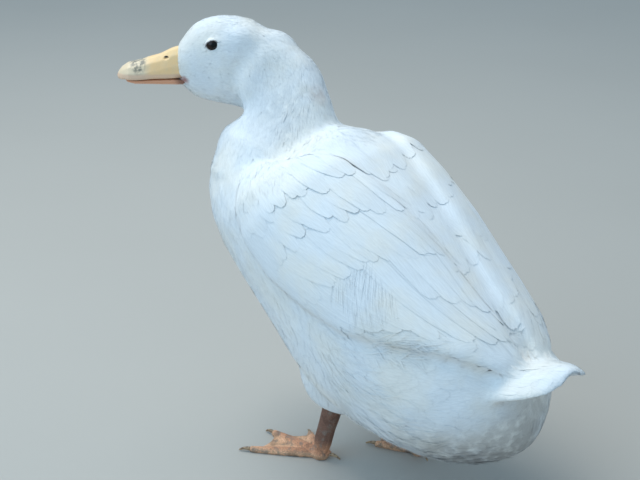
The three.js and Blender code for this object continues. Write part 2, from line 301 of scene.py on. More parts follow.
def remeshed(name: str, copies: Iterable[bmesh.types.BMesh], voxel: float) -> bpy.types.Mesh:
    """Joins closed shells and remeshes them as one even surface.

    Args:
        name: the new mesh's name.
        copies: the shells, which are freed.
        voxel: the size of the new faces.

    Returns:
        The new mesh.
    """
    joined = bmesh.new()
    for copy in copies:
        part = mesh_of("part", copy)
        joined.from_mesh(part)
        bpy.data.meshes.remove(part)
    rough = mesh_of(name + "_rough", joined)
    holder = bpy.data.objects.new(name + "_rough", rough)
    bpy.context.scene.collection.objects.link(holder)
    remesh = holder.modifiers.new("Even", "REMESH")
    remesh.mode = "VOXEL"
    remesh.voxel_size = voxel
    shaped = holder.evaluated_get(bpy.context.evaluated_depsgraph_get())
    mesh = bpy.data.meshes.new_from_object(shaped)
    mesh.name = name
    bpy.data.objects.remove(holder)
    bpy.data.meshes.remove(rough)
    return mesh


def smoothed(mesh: bpy.types.Mesh, rounds: int, weights: Array | float = 1.0) -> Array:
    """Smooths a mesh's vertices without shrinking the whole.

    Args:
        mesh: the mesh, which isn't changed.
        rounds: how many times each vertex moves towards its neighbours and back out.
        weights: how much each vertex takes part, from 0 to 1.

    Returns:
        The new places of the vertices.
    """
    points = vertices_of(mesh)
    ends = np.empty(len(mesh.edges) * 2, np.int32)
    mesh.edges.foreach_get("vertices", ends)
    first, second = ends[0::2], ends[1::2]
    count = len(points)
    neighbours = np.bincount(first, minlength=count) + np.bincount(second, minlength=count)
    share = np.broadcast_to(np.asarray(weights, float), (count,))[:, None]
    for step in (0.55, -0.52) * rounds:
        total = np.empty_like(points)
        for axis in range(3):
            total[:, axis] = np.bincount(first, points[second, axis], count)
            total[:, axis] += np.bincount(second, points[first, axis], count)
        points += step * share * (total / neighbours[:, None] - points)
    return points


# ---------------------------------------------------------------- where things lie


@dataclass(frozen=True)
class Anatomy:
    """The duck's landmarks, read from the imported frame."""

    eyes: dict[Side, Vector]
    eye_radius: float
    head: Vector  # between the eyes
    head_left: Vector
    head_ahead: Vector
    bill_tip: Vector
    bill_root: Vector
    neck: Vector
    trunk: Vector  # the middle of the trunk's axis
    trunk_ahead: Vector
    trunk_up: Vector
    tail_root: Vector
    tail_tip: Vector
    thighs: dict[Side, Vector]

    PITCH: ClassVar[float] = math.radians(38)  # how steeply the trunk is carried

    def by_head(self, ahead: float, left: float, up: float) -> Vector:
        """A place by its millimetres ahead, left and up from the middle of the eyes."""
        return self.head + (self.head_ahead * ahead + self.head_left * left + Vector((0, 0, up))) * MM

    def gape(self, side: Side) -> Vector:
        """The corner of the mouth on one side."""
        return self.by_head(28, 11 * side.value, -35)

    @classmethod
    def read(cls) -> "Anatomy":
        """Reads the landmarks from the nodes' boxes.

        Returns:
            The landmarks.
        """
        eyes = {side: centre_of(f"eye_{side.word}") for side in Side}
        low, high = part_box("eye_left")
        head = (eyes[Side.LEFT] + eyes[Side.RIGHT]) / 2
        head_left = (eyes[Side.LEFT] - eyes[Side.RIGHT]).normalized()
        head_ahead = head_left.cross(Vector((0, 0, 1))).normalized() * -1
        nail_low, nail_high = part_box("bill_nail")
        nail = (nail_low + nail_high) / 2
        if (nail - head).dot(head_ahead) < 0:
            head_ahead = -head_ahead
        bill_low, bill_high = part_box("upper_bill")
        bill_middle = (bill_low + bill_high) / 2
        ahead = Vector((0, -math.cos(cls.PITCH), math.sin(cls.PITCH)))
        upward = Vector((0, math.sin(cls.PITCH), math.cos(cls.PITCH)))
        tail_low, tail_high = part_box("tail")
        tail_across = (tail_low.x + tail_high.x) / 2
        return cls(
            eyes=eyes,
            eye_radius=(high.z - low.z) / 2,
            head=head,
            head_left=head_left,
            head_ahead=head_ahead,
            bill_tip=nail + head_ahead * (nail_high - nail_low).length * 0.3,
            bill_root=bill_middle - head_ahead * 0.03,
            neck=centre_of("neck"),
            trunk=centre_of("trunk") - ahead * 9 * MM - upward * 7 * MM,
            trunk_ahead=ahead,
            trunk_up=upward,
            tail_root=Vector((tail_across, tail_low.y - 22 * MM, tail_low.z + 12 * MM)),
            tail_tip=Vector((tail_across, tail_high.y, tail_high.z - 6 * MM)),
            thighs={side: centre_of(f"thigh_{side.word}") for side in Side},
        )


@dataclass(frozen=True)
class Lie:
    """Which way the coat lies: back from the bill, over the head, down the neck and along to the tail."""

    spots: Array  # samples along the middle of the body
    ways: Array  # the way that the coat runs at each
    shares: Array  # how far each is from the bill, in metres

    REACH: ClassVar[float] = 14 * MM

    @classmethod
    def of(cls, duck: Anatomy) -> "Lie":
        """Lays the middle line through the duck's landmarks.

        Args:
            duck: the landmarks.

        Returns:
            The lie of the coat.
        """
        knots = [  # bill, head, neck, trunk and tail, a few millimetres off their middles
            duck.bill_root + Vector((0, 0, 6 * MM)),
            duck.head - Vector((0, 0, 12 * MM)),
            duck.head - duck.head_ahead * 45 * MM - Vector((0, 0, 18 * MM)),
            duck.neck + Vector((-8 * MM, -2 * MM, 14 * MM)),
            duck.neck + Vector((-10 * MM, 6 * MM, -45 * MM)),
            duck.trunk + duck.trunk_ahead * 118 * MM + duck.trunk_up * 4 * MM,
            duck.trunk + duck.trunk_ahead * 55 * MM,
            duck.trunk - duck.trunk_ahead * 20 * MM,
            duck.trunk - duck.trunk_ahead * 85 * MM + duck.trunk_up * 18 * MM,
            duck.tail_root,
            duck.tail_tip,
        ]
        line = cls.curve(knots, 8)
        steps = np.diff(line, axis=0)
        middles = (line[1:] + line[:-1]) / 2
        shares = np.cumsum(np.linalg.norm(steps, axis=1))
        spots, ways, far = [middles], [unit(steps)], [shares]
        for thigh in duck.thighs.values():
            drop = np.linspace(-6 * MM, -42 * MM, 5)[:, None]
            spots.append(np.array(thigh) + drop * np.array([0, -0.2, 1]))
            ways.append(np.tile(unit(np.array([0.0, 0.12, -1.0])), (5, 1)))
            far.append(np.full(5, cls.share_of_belly(shares)))
        return cls(np.concatenate(spots), np.concatenate(ways), np.concatenate(far))

    @staticmethod
    def share_of_belly(shares: Array) -> float:
        """How far from the bill the belly counts as lying."""
        return float(shares[-1] * 0.72)

    @staticmethod
    def curve(knots: Sequence[Vector], between: int) -> Array:
        """A smooth line through knots.

        Args:
            knots: the points that it passes.
            between: how many steps it takes from one to the next.

        Returns:
            Its points.
        """
        points = np.array([knot[:] for knot in knots])
        padded = np.concatenate([2 * points[:1] - points[1:2], points, 2 * points[-1:] - points[-2:-1]])
        made = []
        for i in range(len(points) - 1):
            a, b, c, d = padded[i : i + 4]
            slope, bend, twist = c - a, 2 * a - 5 * b + 4 * c - d, 3 * b - a - 3 * c + d
            for t in np.arange(between) / between:
                made.append(b + 0.5 * (slope * t + bend * t**2 + twist * t**3))
        return np.array([*made, points[-1]])

    def at(self, places: Array) -> tuple[Array, Array]:
        """Reads the lie at some places.

        Args:
            places: points on or near the coat.

        Returns:
            The way the coat runs at each, not yet laid on the surface, and its distance from the bill.
        """
        away = np.sum((places[:, None, :] - self.spots[None]) ** 2, axis=2)
        weights = (away + self.REACH**2) ** -4.0
        weights /= weights.sum(axis=1, keepdims=True)
        return unit(weights @ self.ways), weights @ self.shares


@dataclass(frozen=True)
class Chart:
    """Places round the trunk: how far forward along its axis, and how many degrees up from its left side."""

    duck: Anatomy
    tree: BVHTree

    def ways(self, angles: Array) -> Array:
        """The directions out from the axis at some angles."""
        turn = np.radians(angles)[..., None]
        return np.cos(turn) * np.array([1.0, 0, 0]) + np.sin(turn) * np.array(self.duck.trunk_up)

    def place(self, along: Array, angles: Array) -> Array:
        """Finds the places on the coat's surface.

        Args:
            along: millimetres forward along the axis.
            angles: degrees up from the left side.

        Returns:
            The points, in the shape of the two arrays.
        """
        forward = np.asarray(along)[..., None] * MM * np.array(self.duck.trunk_ahead)
        starts = np.array(self.duck.trunk) + forward
        ways = self.ways(np.asarray(angles))
        found = []
        for start, way in zip(starts.reshape(-1, 3), ways.reshape(-1, 3), strict=True):
            hit = self.tree.ray_cast(Vector(start), Vector(way))[0]
            found.append(hit if hit is not None else Vector(start + way * 0.05))
        return np.array(found).reshape(starts.shape)

    def read(self, places: Array) -> tuple[Array, Array]:
        """Reads where places lie on the chart.

        Args:
            places: points, one row each.

        Returns:
            Millimetres forward along the axis, and degrees up from the left side, from -180 to 180.
        """
        away = places - np.array(self.duck.trunk)
        along = away @ np.array(self.duck.trunk_ahead) / MM
        rise = away @ np.array(self.duck.trunk_up)
        return along, np.degrees(np.arctan2(rise, away[:, 0]))


@dataclass(frozen=True)
class Touch:
    """A place where the outer form is pushed softly, as a modeller's thumb would."""

    place: Vector
    reach: float
    move: Vector

    def on(self, points: Array) -> Array:
        """How far it moves each point."""
        away = np.linalg.norm(points - np.array(self.place), axis=1) / self.reach
        return np.clip(1 - away**2, 0, None)[:, None] ** 2 * np.array(self.move)


@dataclass
class Body:
    """The skin of the duck and the outer surface of its plumage, which share their faces."""

    frame: dict
    duck: Anatomy
    lie: Lie
    voxel: float = 2.6 * MM
    swell: float = 1.4 * MM
    rounds: int = 34
    deepest: float = 0.36  # the most of a thin part's thickness that the coat takes
    depth_marks: tuple[float, ...] = (0.0, 0.03, 0.07, 0.12, 0.17, 0.24, 0.60)  # metres from the bill
    depths: tuple[float, ...] = (0.5 * MM, 0.7 * MM, 0.8 * MM, 0.9 * MM, 1.0 * MM, 1.3 * MM, 2.2 * MM)
    crease: tuple[float, float, float] = (-32, 22, -57)  # where the throat meets the neck, by the head
    crease_reach: tuple[float, float] = (7 * MM, 27 * MM)  # it stays sharp within the first of these
    cheek: tuple[float, float, float] = (-40, 34, -24)  # the middle of the blend behind the cheek
    cheek_reach: tuple[float, float] = (30 * MM, 64 * MM)  # full within the first, none past the second
    cheek_rounds: int = 380
    pocket_inset: float = 8 * MM  # the corners beside the tail's root, in from the edges of its box
    pocket_reach: tuple[float, float] = (14 * MM, 30 * MM)
    pocket_rounds: int = 90
    thigh_reach: tuple[float, float] = (38 * MM, 68 * MM)
    thigh_rounds: int = 150
    nape: tuple[float, float, float] = (-52, 7, -17)  # a soft filling behind the head, by the head
    nape_radii: tuple[float, float, float] = (31, 27, 29)
    crop: tuple[float, float, float] = (-56, 32, -109)  # a soft filling under the throat, by the head
    crop_radii: tuple[float, float, float] = (59, 59, 58)
    shoulder: tuple[float, float, float] = (55, -62, 318)  # the top of the left shoulder, in millimetres
    wing_ends: tuple[float, float] = (190 * MM, 205 * MM)  # the broad smoothing fades between these

    FLESH: ClassVar[tuple[str, ...]] = (
        "trunk", "neck", "head", "tail",
        "wing_left", "wing_right", "thigh_left", "thigh_right",
    )

    points: Array = field(init=False)
    normals: Array = field(init=False)
    corners: Array = field(init=False)  # three vertices for each triangle
    corner_uv: Array = field(init=False)  # and where they lie on the unwrap
    tree: BVHTree = field(init=False)

    def build(self) -> None:
        """Builds the outer surface, and the skin inside it."""
        names = [*self.FLESH, "eye_left", "eye_right"]
        copies = [swelled_copy(self.frame["nodes"][name].data, self.swell) for name in names]
        mesh = remeshed("skin", [*copies, *self.fillings()], self.voxel)
        self.shape(mesh)
        self.points = vertices_of(mesh) - normals_of(mesh) * self.swell
        move_vertices(mesh, self.points)
        self.normals = normals_of(mesh)
        skin = link("skin", mesh, Plumage())
        self.unwrap(skin)
        self.index(mesh)
        move_vertices(mesh, self.points - self.normals * self.coat_depth()[:, None])
        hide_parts(*self.FLESH)

    def fillings(self) -> list[bmesh.types.BMesh]:
        """Makes the soft forms that bridge the solids: the nape behind the head, the crop under the throat.

        Returns:
            The forms.
        """
        turn = self.duck.head_ahead.to_track_quat("X", "Z").to_matrix().to_4x4()
        made = []
        for place, radii in ((self.nape, self.nape_radii), (self.crop, self.crop_radii)):
            form = bmesh.new()
            bmesh.ops.create_icosphere(form, subdivisions=4, radius=MM)
            bmesh.ops.scale(form, vec=radii, verts=form.verts)
            stand = Matrix.Translation(self.duck.by_head(*place)) @ turn
            bmesh.ops.transform(form, matrix=stand, verts=form.verts)
            made.append(form)
        return made

    def touches(self) -> list[Touch]:
        """Finds where the joined solids stand proud or fall in: at the neck, the shoulders and the hems.

        Returns:
            The touches that mend it.
        """
        duck = self.duck
        ahead, left, down = duck.head_ahead, duck.head_left, Vector((0, 0, -1))
        at_neck = (  # the place by the head, the reach, the way and how far, in millimetres
            ((-44, 50, -20), 52, left, -16),
            ((-22, 30, -28), 30, left, 5),
            ((-36, 24, 2), 32, left, 7),
            ((-64, 62, -52), 54, left, -9),
            ((-24, 15, -62), 34, ahead, -12),
            ((-120, 28, -55), 38, ahead, 7),
        )
        made = []
        for place, reach, way, far in at_neck:
            made.append(Touch(duck.by_head(*place), reach * MM, way * far * MM))
        across, back, height = self.shoulder
        for side in Side:
            top = Vector((side.value * across, back, height)) * MM
            made.append(Touch(top, 64 * MM, Vector((0, 0, -9 * MM))))
        for thigh in duck.thighs.values():
            made.append(Touch(thigh + down * 34 * MM, 36 * MM, down * -11 * MM))
        return made

    def shape(self, mesh: bpy.types.Mesh) -> None:
        """Blends the joined solids to one body, most behind the cheek, beside the tail and at the thighs.

        Args:
            mesh: the joined solids, which it reshapes.
        """
        points = vertices_of(mesh)
        _, share = self.lie.at(points)
        for touch in self.touches():
            points = points + touch.on(points)
        move_vertices(mesh, points)
        creased = within(points, self.duck.by_head(*self.crease), *self.crease_reach)
        behind = ease(points[:, 1], *self.wing_ends)
        broad = (0.35 + 0.65 * ease(share, 0.07, 0.16)) * (1 - 0.85 * creased) * (1 - 0.8 * behind)
        cheek = within(points, self.duck.by_head(*self.cheek), *self.cheek_reach)
        behind_face = ease(share, 0.05, 0.075) * (1 - creased)
        stages = [(self.rounds, broad), (self.cheek_rounds, cheek * behind_face)]
        low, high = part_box("tail")
        inset = self.pocket_inset
        for x in (low.x + inset, high.x - inset):
            pocket = (x, low.y + inset, high.z - inset)
            stages.append((self.pocket_rounds, within(points, pocket, *self.pocket_reach)))
        for thigh in self.duck.thighs.values():
            stages.append((self.thigh_rounds, within(points, thigh, *self.thigh_reach, (1, 1, 0.8))))
        for rounds, weights in stages:
            move_vertices(mesh, smoothed(mesh, rounds, weights))

    @staticmethod
    def unwrap(skin: bpy.types.Object) -> None:
        """Unwraps the skin's own shape to the bake map.

        Args:
            skin: the skin.
        """
        skin.data.uv_layers.new(name=BAKE_MAP)
        bpy.context.view_layer.objects.active = skin
        skin.select_set(True)
        bpy.ops.object.mode_set(mode="EDIT")
        bpy.ops.mesh.select_all(action="SELECT")
        bpy.ops.uv.smart_project(angle_limit=math.radians(66), island_margin=0.002)
        bpy.ops.object.mode_set(mode="OBJECT")
        skin.select_set(False)

    def index(self, mesh: bpy.types.Mesh) -> None:
        """Keeps the mesh's triangles, their places on the unwrap, and a tree to find them by.

        Args:
            mesh: the skin's mesh, while it lies on the outer surface.
        """
        mesh.calc_loop_triangles()
        count = len(mesh.loop_triangles)
        corners, loops = np.empty(count * 3, np.int32), np.empty(count * 3, np.int32)
        mesh.loop_triangles.foreach_get("vertices", corners)
        mesh.loop_triangles.foreach_get("loops", loops)
        places = np.empty(len(mesh.loops) * 2, np.float32)
        mesh.uv_layers[BAKE_MAP].uv.foreach_get("vector", places)
        self.corners = corners.reshape(-1, 3)
        self.corner_uv = places.reshape(-1, 2)[loops.reshape(-1, 3)]
        self.tree = BVHTree.FromPolygons(self.points.tolist(), self.corners.tolist())

    def coat_depth(self) -> Array:
        """Finds how far the skin lies under the coat's surface, at each vertex.

        Returns:
            The depths.
        """
        _, share = self.lie.at(self.points)
        wanted = np.interp(share, self.depth_marks, self.depths)
        thick = np.full(len(self.points), 1.0)
        for i, (point, normal) in enumerate(zip(self.points, self.normals, strict=True)):
            hit = self.tree.ray_cast(Vector(point - normal * 0.5 * MM), Vector(-normal), 40 * MM)
            if hit[0] is not None:
                thick[i] = hit[3]
        return np.minimum(wanted, thick * self.deepest)

    def nearest(self, spots: Array) -> tuple[Array, Array, Array]:
        """Finds the nearest places on the outer surface.

        Args:
            spots: points, one row each.

        Returns:
            The places, the smooth normals there, and the places on the unwrap.
        """
        found = [self.tree.find_nearest(spot) for spot in spots.tolist()]
        places = np.array([hit[0][:] for hit in found])
        faces = np.array([hit[2] for hit in found])
        a, b, c = (self.points[self.corners[faces, i]] for i in range(3))
        ab, ac, ap = b - a, c - a, places - a
        bb, cc, bc = (np.sum(pair[0] * pair[1], axis=1) for pair in ((ab, ab), (ac, ac), (ab, ac)))
        pb, pc = np.sum(ap * ab, axis=1), np.sum(ap * ac, axis=1)
        spread = np.maximum(bb * cc - bc**2, 1e-18)
        v = (cc * pb - bc * pc) / spread
        w = (bb * pc - bc * pb) / spread
        shares = np.stack([1 - v - w, v, w], axis=1)[:, :, None]
        normals = unit(np.sum(self.normals[self.corners[faces]] * shares, axis=1))
        return places, normals, np.sum(self.corner_uv[faces] * shares, axis=1)

    def scatter(self, spacing: Callable[[Array], Array], rng: np.random.Generator) -> Array:
        """Scatters points evenly over the outer surface.

        Args:
            spacing: gives the distance between points at some places; where it is 0 there are none.
            rng: the random source.

        Returns:
            The points.
        """
        a, b, c = (self.points[self.corners[:, i]] for i in range(3))
        gaps = spacing((a + b + c) / 3)
        areas = np.linalg.norm(np.cross(b - a, c - a), axis=1) / 2
        expected = np.where(gaps > 0, 3.2 * areas / np.maximum(gaps, 1e-6) ** 2, 0)
        counts = np.floor(expected + rng.random(len(expected))).astype(int)
        chosen = np.repeat(np.arange(len(counts)), counts)
        rng.shuffle(chosen)
        r, s = rng.random((2, len(chosen), 1))
        r = np.sqrt(r)
        spots = a[chosen] * (1 - r) + b[chosen] * r * (1 - s) + c[chosen] * r * s
        reach = gaps[chosen] * 0.92
        tree = KDTree(len(spots))
        for i, spot in enumerate(spots):
            tree.insert(spot, i)
        tree.balance()
        free = np.ones(len(spots), bool)
        kept = []
        for i in range(len(spots)):
            if free[i]:
                kept.append(i)
                for _, j, _ in tree.find_range(spots[i], reach[i]):
                    free[j] = False
        return spots[kept]


# ---------------------------------------------------------------- finishes


@dataclass(frozen=True)
class Tint:
    """A colour that covers what lies under it, as strongly as all its ramps together let it."""

    colour: str
    strength: float
    ramps: Sequence[tuple[Socket, float, float]] = ()  # a value, where it starts and is full


def layered(tree: bpy.types.NodeTree, base: str, tints: Iterable[Tint]) -> Socket:
    """Lays tints over a base colour, one after another.

    Args:
        tree: the node tree.
        base: the base colour.
        tints: what covers it, from the lowest up.

    Returns:
        The output that gives the colour.
    """
    colour = srgb(base)
    for tint in tints:
        share = tint.strength
        for value, start, full in tint.ramps:
            sockets = {"Value": value, "From Min": start, "From Max": full, "To Max": share}
            share = add_node(tree, "MapRange", sockets, interpolation_type="SMOOTHSTEP").outputs[0]
        mix = add_node(tree, "Mix", {0: share, 6: colour, 7: srgb(tint.colour)}, data_type="RGBA")
        colour = mix.outputs[2]
    return colour


def near(tree: bpy.types.NodeTree, where: Socket, place: Vector, reach: Vector) -> Socket:
    """Finds how near the surface is to a place.

    Args:
        tree: the node tree.
        where: the output that gives the surface's place.
        place: the place, in the same terms.
        reach: the half axes of the ellipsoid round it.

    Returns:
        The output that falls from 1 at the place to 0 at the edge of the ellipsoid.
    """
    scale = Vector(1 / r for r in reach)
    sockets = {"Vector": where, "Location": -place * scale, "Scale": scale}
    centred = add_node(tree, "Mapping", sockets, vector_type="POINT").outputs[0]
    return add_node(tree, "TexGradient", {"Vector": centred}, gradient_type="SPHERICAL").outputs["Fac"]


def along_axis(tree: bpy.types.NodeTree, where: Socket, start: Vector, axis: Vector) -> Socket:
    """Turns places on the duck so that X runs along a level axis.

    Args:
        tree: the node tree.
        where: the output that gives the surface's place.
        start: what becomes the origin.
        axis: the axis.

    Returns:
        The output that gives the turned place.
    """
    turn = (0.0, 0.0, math.atan2(axis.y, axis.x))
    sockets = {"Vector": where, "Location": start, "Rotation": turn}
    return add_node(tree, "Mapping", sockets, vector_type="TEXTURE").outputs[0]


@dataclass(frozen=True)
class Finish:
    """A material of the duck, made once and then shared."""

    name: str = "finish"

    def sockets(self, tree: bpy.types.NodeTree) -> dict[str, object]:
        """Says what the Principled shader's sockets hold.

        Args:
            tree: the node tree.

        Returns:
            For each socket a value, or the output that feeds it.
        """
        raise NotImplementedError

    def material(self) -> bpy.types.Material:
        """Makes the material, unless it was made before.

        Returns:
            The material.
        """
        made = bpy.data.materials.get(self.name)
        if made is None:
            made = bpy.data.materials.new(self.name)
            made.use_nodes = True
            tree = made.node_tree
            tree.nodes.clear()
            shader = add_node(tree, "BsdfPrincipled", self.sockets(tree))
            add_node(tree, "OutputMaterial", {"Surface": shader.outputs[0]})
        return made


@dataclass(frozen=True)
class StainAndShadeMark:
    """A soft mark in the plumage, dirt and painted shade alike: where it is, how far it reaches, its colour
    and how strongly it shows.
    """

    place: Vector
    reach: Vector
    colour: str
    strength: float


@dataclass(frozen=True)
class Plumage(Finish):
    """White feather, matt keratin barbs: nearly pure white, a little blue in its hollows and cream in places.

    Barbs scatter light softly and shine only along grazing edges, so it is rough, with a faint sheen.
    """

    name: str = "white_feather_skin"
    barbs: float = 0.0  # the spacing of the barbs; real ones are 0.3 mm, drawn coarser so that they show
    relief: float = 0.0  # how high the barbs stand
    strands: float = 0.0  # how deep the fine streaks are that part the barbs of a small feather
    clouds: float = 22 * MM  # how broad the cream clouds are
    patches: float = 4 * MM  # how broad the patches are that the marks of dirt and painted shade break up into
    white: str = "#eff3f6"
    cream: str = "#f4f2ec"
    # the marks of dirt and the painted shade that every plumage finish carries
    stains: ClassVar[list[StainAndShadeMark]] = []

    def sockets(self, tree: bpy.types.NodeTree) -> dict[str, object]:
        """Puts the same markings, dirt and painted shade among them, on the skin and on every feather, from
        their place on the duck.

        Args:
            tree: the node tree.

        Returns:
            What the shader's sockets hold.
        """
        where = add_node(tree, "TexCoord").outputs["Object"]
        broad = {"Vector": where, "Scale": 0.5 / self.clouds, "Detail": 3.0}
        clouds = add_node(tree, "TexNoise", broad).outputs[0]
        fine = {"Vector": where, "Scale": 0.5 / self.patches, "Detail": 4.0}
        patches = add_node(tree, "TexNoise", fine).outputs[0]
        tints = [Tint(self.cream, 1.0, [(clouds, 0.35, 0.7)])]
        # each mark, dirt and painted shade alike, is laid over the white by its place
        for stain_and_shade in self.stains:
            ball = near(tree, where, stain_and_shade.place, stain_and_shade.reach)
            tints.append(Tint(stain_and_shade.colour, stain_and_shade.strength, [(patches, 0.12, 0.6), (ball, 0.0, 0.9)]))
        colour = layered(tree, self.white, tints)
        made = {
            "Roughness": 0.72,
            "Specular IOR Level": 0.25,
            "Sheen Weight": 0.2,
            "Sheen Roughness": 0.5,
        }
        tone = add_node(tree, "Attribute", attribute_name=TONE).outputs["Fac"]
        if self.barbs or self.strands:
            vane = add_node(tree, "UVMap", uv_map=VANE_MAP).outputs[0]
            streaks = self.streaks(tree, vane, tone)
            height = self.barb_height(tree, vane) if self.barbs else streaks
            depth = self.relief if self.barbs else self.strands
            bump = add_node(tree, "Bump", {"Strength": 0.6, "Distance": depth, "Height": height})
            made["Normal"] = bump.outputs[0]
            span = {"Value": streaks, "From Min": 0.3, "From Max": 0.7, "To Min": -0.05, "To Max": 0.03}
            darker = add_node(tree, "MapRange", span, interpolation_type="SMOOTHSTEP").outputs[0]
            tone = add_node(tree, "Math", {0: tone, 1: darker}, operation="ADD").outputs[0]
        lit = add_node(tree, "Math", {0: tone, 1: 1.0}, operation="ADD").outputs[0]
        made["Base Color"] = add_node(tree, "HueSaturation", {"Color": colour, "Value": lit}).outputs[0]
        return made

    @staticmethod
    def streaks(tree: bpy.types.NodeTree, vane: Socket, tone: Socket) -> Socket:
        """Draws uneven streaks along a feather, 1 mm apart and ten times as long.

        Args:
            tree: the node tree.
            vane: the output that gives the place on the feather.
            tone: the feather's tone, which shifts them from one feather to the next.

        Returns:
            The output that gives them.
        """
        shift = add_node(tree, "Math", {0: tone, 1: 90.0}, operation="MULTIPLY").outputs[0]
        offset = add_node(tree, "CombineXYZ", {0: shift, 1: shift}).outputs[0]
        long = (1 / MM, 0.1 / MM, 1.0)
        placed = add_node(tree, "VectorMath", {0: vane, 1: long}, operation="MULTIPLY").outputs[0]
        moved = add_node(tree, "VectorMath", {0: placed, 1: offset}, operation="ADD").outputs[0]
        return add_node(tree, "TexNoise", {"Vector": moved, "Scale": 0.8, "Detail": 2.0}).outputs[0]

    def barb_height(self, tree: bpy.types.NodeTree, vane: Socket) -> Socket:
        """Raises fine ridges that run out from the shaft at a slant, and the shaft itself.

        Args:
            tree: the node tree.
            vane: the output that gives the place on the feather.

        Returns:
            The output that gives the height.
        """
        parts = add_node(tree, "SeparateXYZ", {0: vane}).outputs
        off_shaft = add_node(tree, "Math", {0: parts[0]}, operation="ABSOLUTE").outputs[0]
        slant = add_node(tree, "Math", {0: off_shaft, 1: 1.5}, operation="MULTIPLY").outputs[0]
        slanted = add_node(tree, "Math", {0: parts[1], 1: slant}, operation="SUBTRACT").outputs[0]
        turns = add_node(tree, "Math", {0: slanted, 1: math.tau / self.barbs}, operation="MULTIPLY")
        wave = add_node(tree, "Math", {0: turns.outputs[0]}, operation="SINE").outputs[0]
        span = {"Value": off_shaft, "From Min": 0.9 * MM, "From Max": 0.2 * MM, "To Max": 2.2}
        shaft = add_node(tree, "MapRange", span, interpolation_type="SMOOTHSTEP").outputs[0]
        return add_node(tree, "Math", {0: wave, 1: shaft}, operation="ADD").outputs[0]


@dataclass(frozen=True)
class BillHorn(Finish):
    """Bill skin over bone, a leathery keratin: pale yellow-orange, ivory at the tip, pink along its edge.

    It is waxy, so it has a soft broad gleam, and dried mud greys its top near the tip.
    """

    name: str = "bill_keratin_waxy"
    duck: Anatomy | None = None
    base: str = "#ffd39a"
    ridge: str = "#fdd59b"
    pale: str = "#e2d3b8"
    tip: str = "#ecd3b0"
    lip: str = "#e9bfa0"
    edge: str = "#e8a27c"
    gape: str = "#5f2f2b"
    # painted shade: the nostrils are near-black ovals painted on the bill, for the shade inside their
    # openings
    nostril: str = "#20150e"
    mud: str = "#5b5c55"
    lowered: float = 0.0  # how much of the edge's pink covers the whole piece
    clouds: float = 3 * MM
    blotches: float = 1.6 * MM  # how broad the spots of mud are
    grain: float = 0.5 * MM
    nostril_place: tuple[float, float, float] = (45.8, 9.5, -14.5)  # millimetres, by the head

    def sockets(self, tree: bpy.types.NodeTree) -> dict[str, object]:
        """Colours it by the place along the bill and the height over its edge.

        Args:
            tree: the node tree.

        Returns:
            What the shader's sockets hold.
        """
        duck = self.duck
        where = add_node(tree, "TexCoord").outputs["Object"]
        turned = along_axis(tree, where, duck.bill_root, duck.head_ahead)
        along, _, rise = add_node(tree, "SeparateXYZ", {0: turned}).outputs
        tip = (duck.bill_tip - duck.bill_root).dot(duck.head_ahead)
        clouds, blotches, grain = (
            add_node(tree, "TexNoise", {"Vector": where, "Scale": 0.5 / size, "Detail": detail}).outputs[0]
            for size, detail in ((self.clouds, 4.0), (self.blotches, 6.0), (self.grain, 2.0))
        )
        smudge = near(tree, turned, Vector((tip - 21 * MM, 0, 0)), Vector((10, 19, 16)) * MM)
        tints = [
            Tint(self.ridge, 1.0, [(rise, -2 * MM, 14 * MM)]),
            Tint(self.pale, 0.3, [(clouds, 0.42, 0.78)]),
            Tint(self.pale, 0.8, [(along, tip - 34 * MM, tip - 24 * MM)]),
            Tint(self.tip, 0.9, [(along, tip - 16 * MM, tip - 9 * MM)]),
            Tint(self.lip, 0.8, [(rise, -6.5 * MM, -9 * MM)]),
            Tint(self.edge, 0.8, [(rise, -13 * MM, -15.5 * MM)]),
            Tint(self.edge, self.lowered),
            Tint(self.gape, 0.75, [(along, 12 * MM, 2 * MM), (rise, -6 * MM, -13 * MM)]),
            Tint(self.mud, 0.85, [(blotches, 0.36, 0.62), (smudge, 0.03, 0.4)]),
        ]
        # painted shade: a near-black oval on each side where the nostrils open
        ahead, beside, up = self.nostril_place
        hole = duck.by_head(ahead, 0, up) - duck.bill_root
        for side in Side:
            place = Vector((hole.dot(duck.head_ahead), side.value * beside * MM, hole.z))
            inside = near(tree, turned, place, Vector((3.2, 5.0, 1.9)) * MM)
            tints.append(Tint(self.nostril, 1.0, [(inside, 0.05, 0.35)]))
        height = add_node(tree, "Math", {0: clouds, 1: grain}, operation="ADD").outputs[0]
        bump = add_node(tree, "Bump", {"Strength": 0.35, "Distance": 0.25 * MM, "Height": height})
        span = {"Value": clouds, "From Min": 0.2, "From Max": 0.8, "To Min": 0.38, "To Max": 0.58}
        return {
            "Base Color": layered(tree, self.base, tints),
            "Roughness": add_node(tree, "MapRange", span, interpolation_type="SMOOTHSTEP").outputs[0],
            "Coat Weight": 0.12,
            "Coat Roughness": 0.35,
            "Normal": bump.outputs[0],
        }


@dataclass(frozen=True)
class EyeGloss(Finish):
    """A wet cornea over a very dark brown iris: near black, mirror smooth, so a lamp shows in it as a dot."""

    name: str = "eye_cornea_wet"
    iris: str = "#24140d"
    pupil: str = "#050404"
    duck: Anatomy | None = None

    def sockets(self, tree: bpy.types.NodeTree) -> dict[str, object]:
        """Sets black pupils in brown, measured out from the line through both eyes.

        Args:
            tree: the node tree.

        Returns:
            What the shader's sockets hold.
        """
        where = add_node(tree, "TexCoord").outputs["Object"]
        turned = along_axis(tree, where, self.duck.head, self.duck.head_left)
        flat = add_node(tree, "VectorMath", {0: turned, 1: (0.0, 1.0, 1.0)}, operation="MULTIPLY")
        away = add_node(tree, "VectorMath", {0: flat.outputs[0]}, operation="LENGTH").outputs["Value"]
        return {
            "Base Color": layered(tree, self.pupil, [Tint(self.iris, 1.0, [(away, 2.6 * MM, 3.6 * MM)])]),
            "Roughness": 0.06,
            "IOR": 1.36,
        }


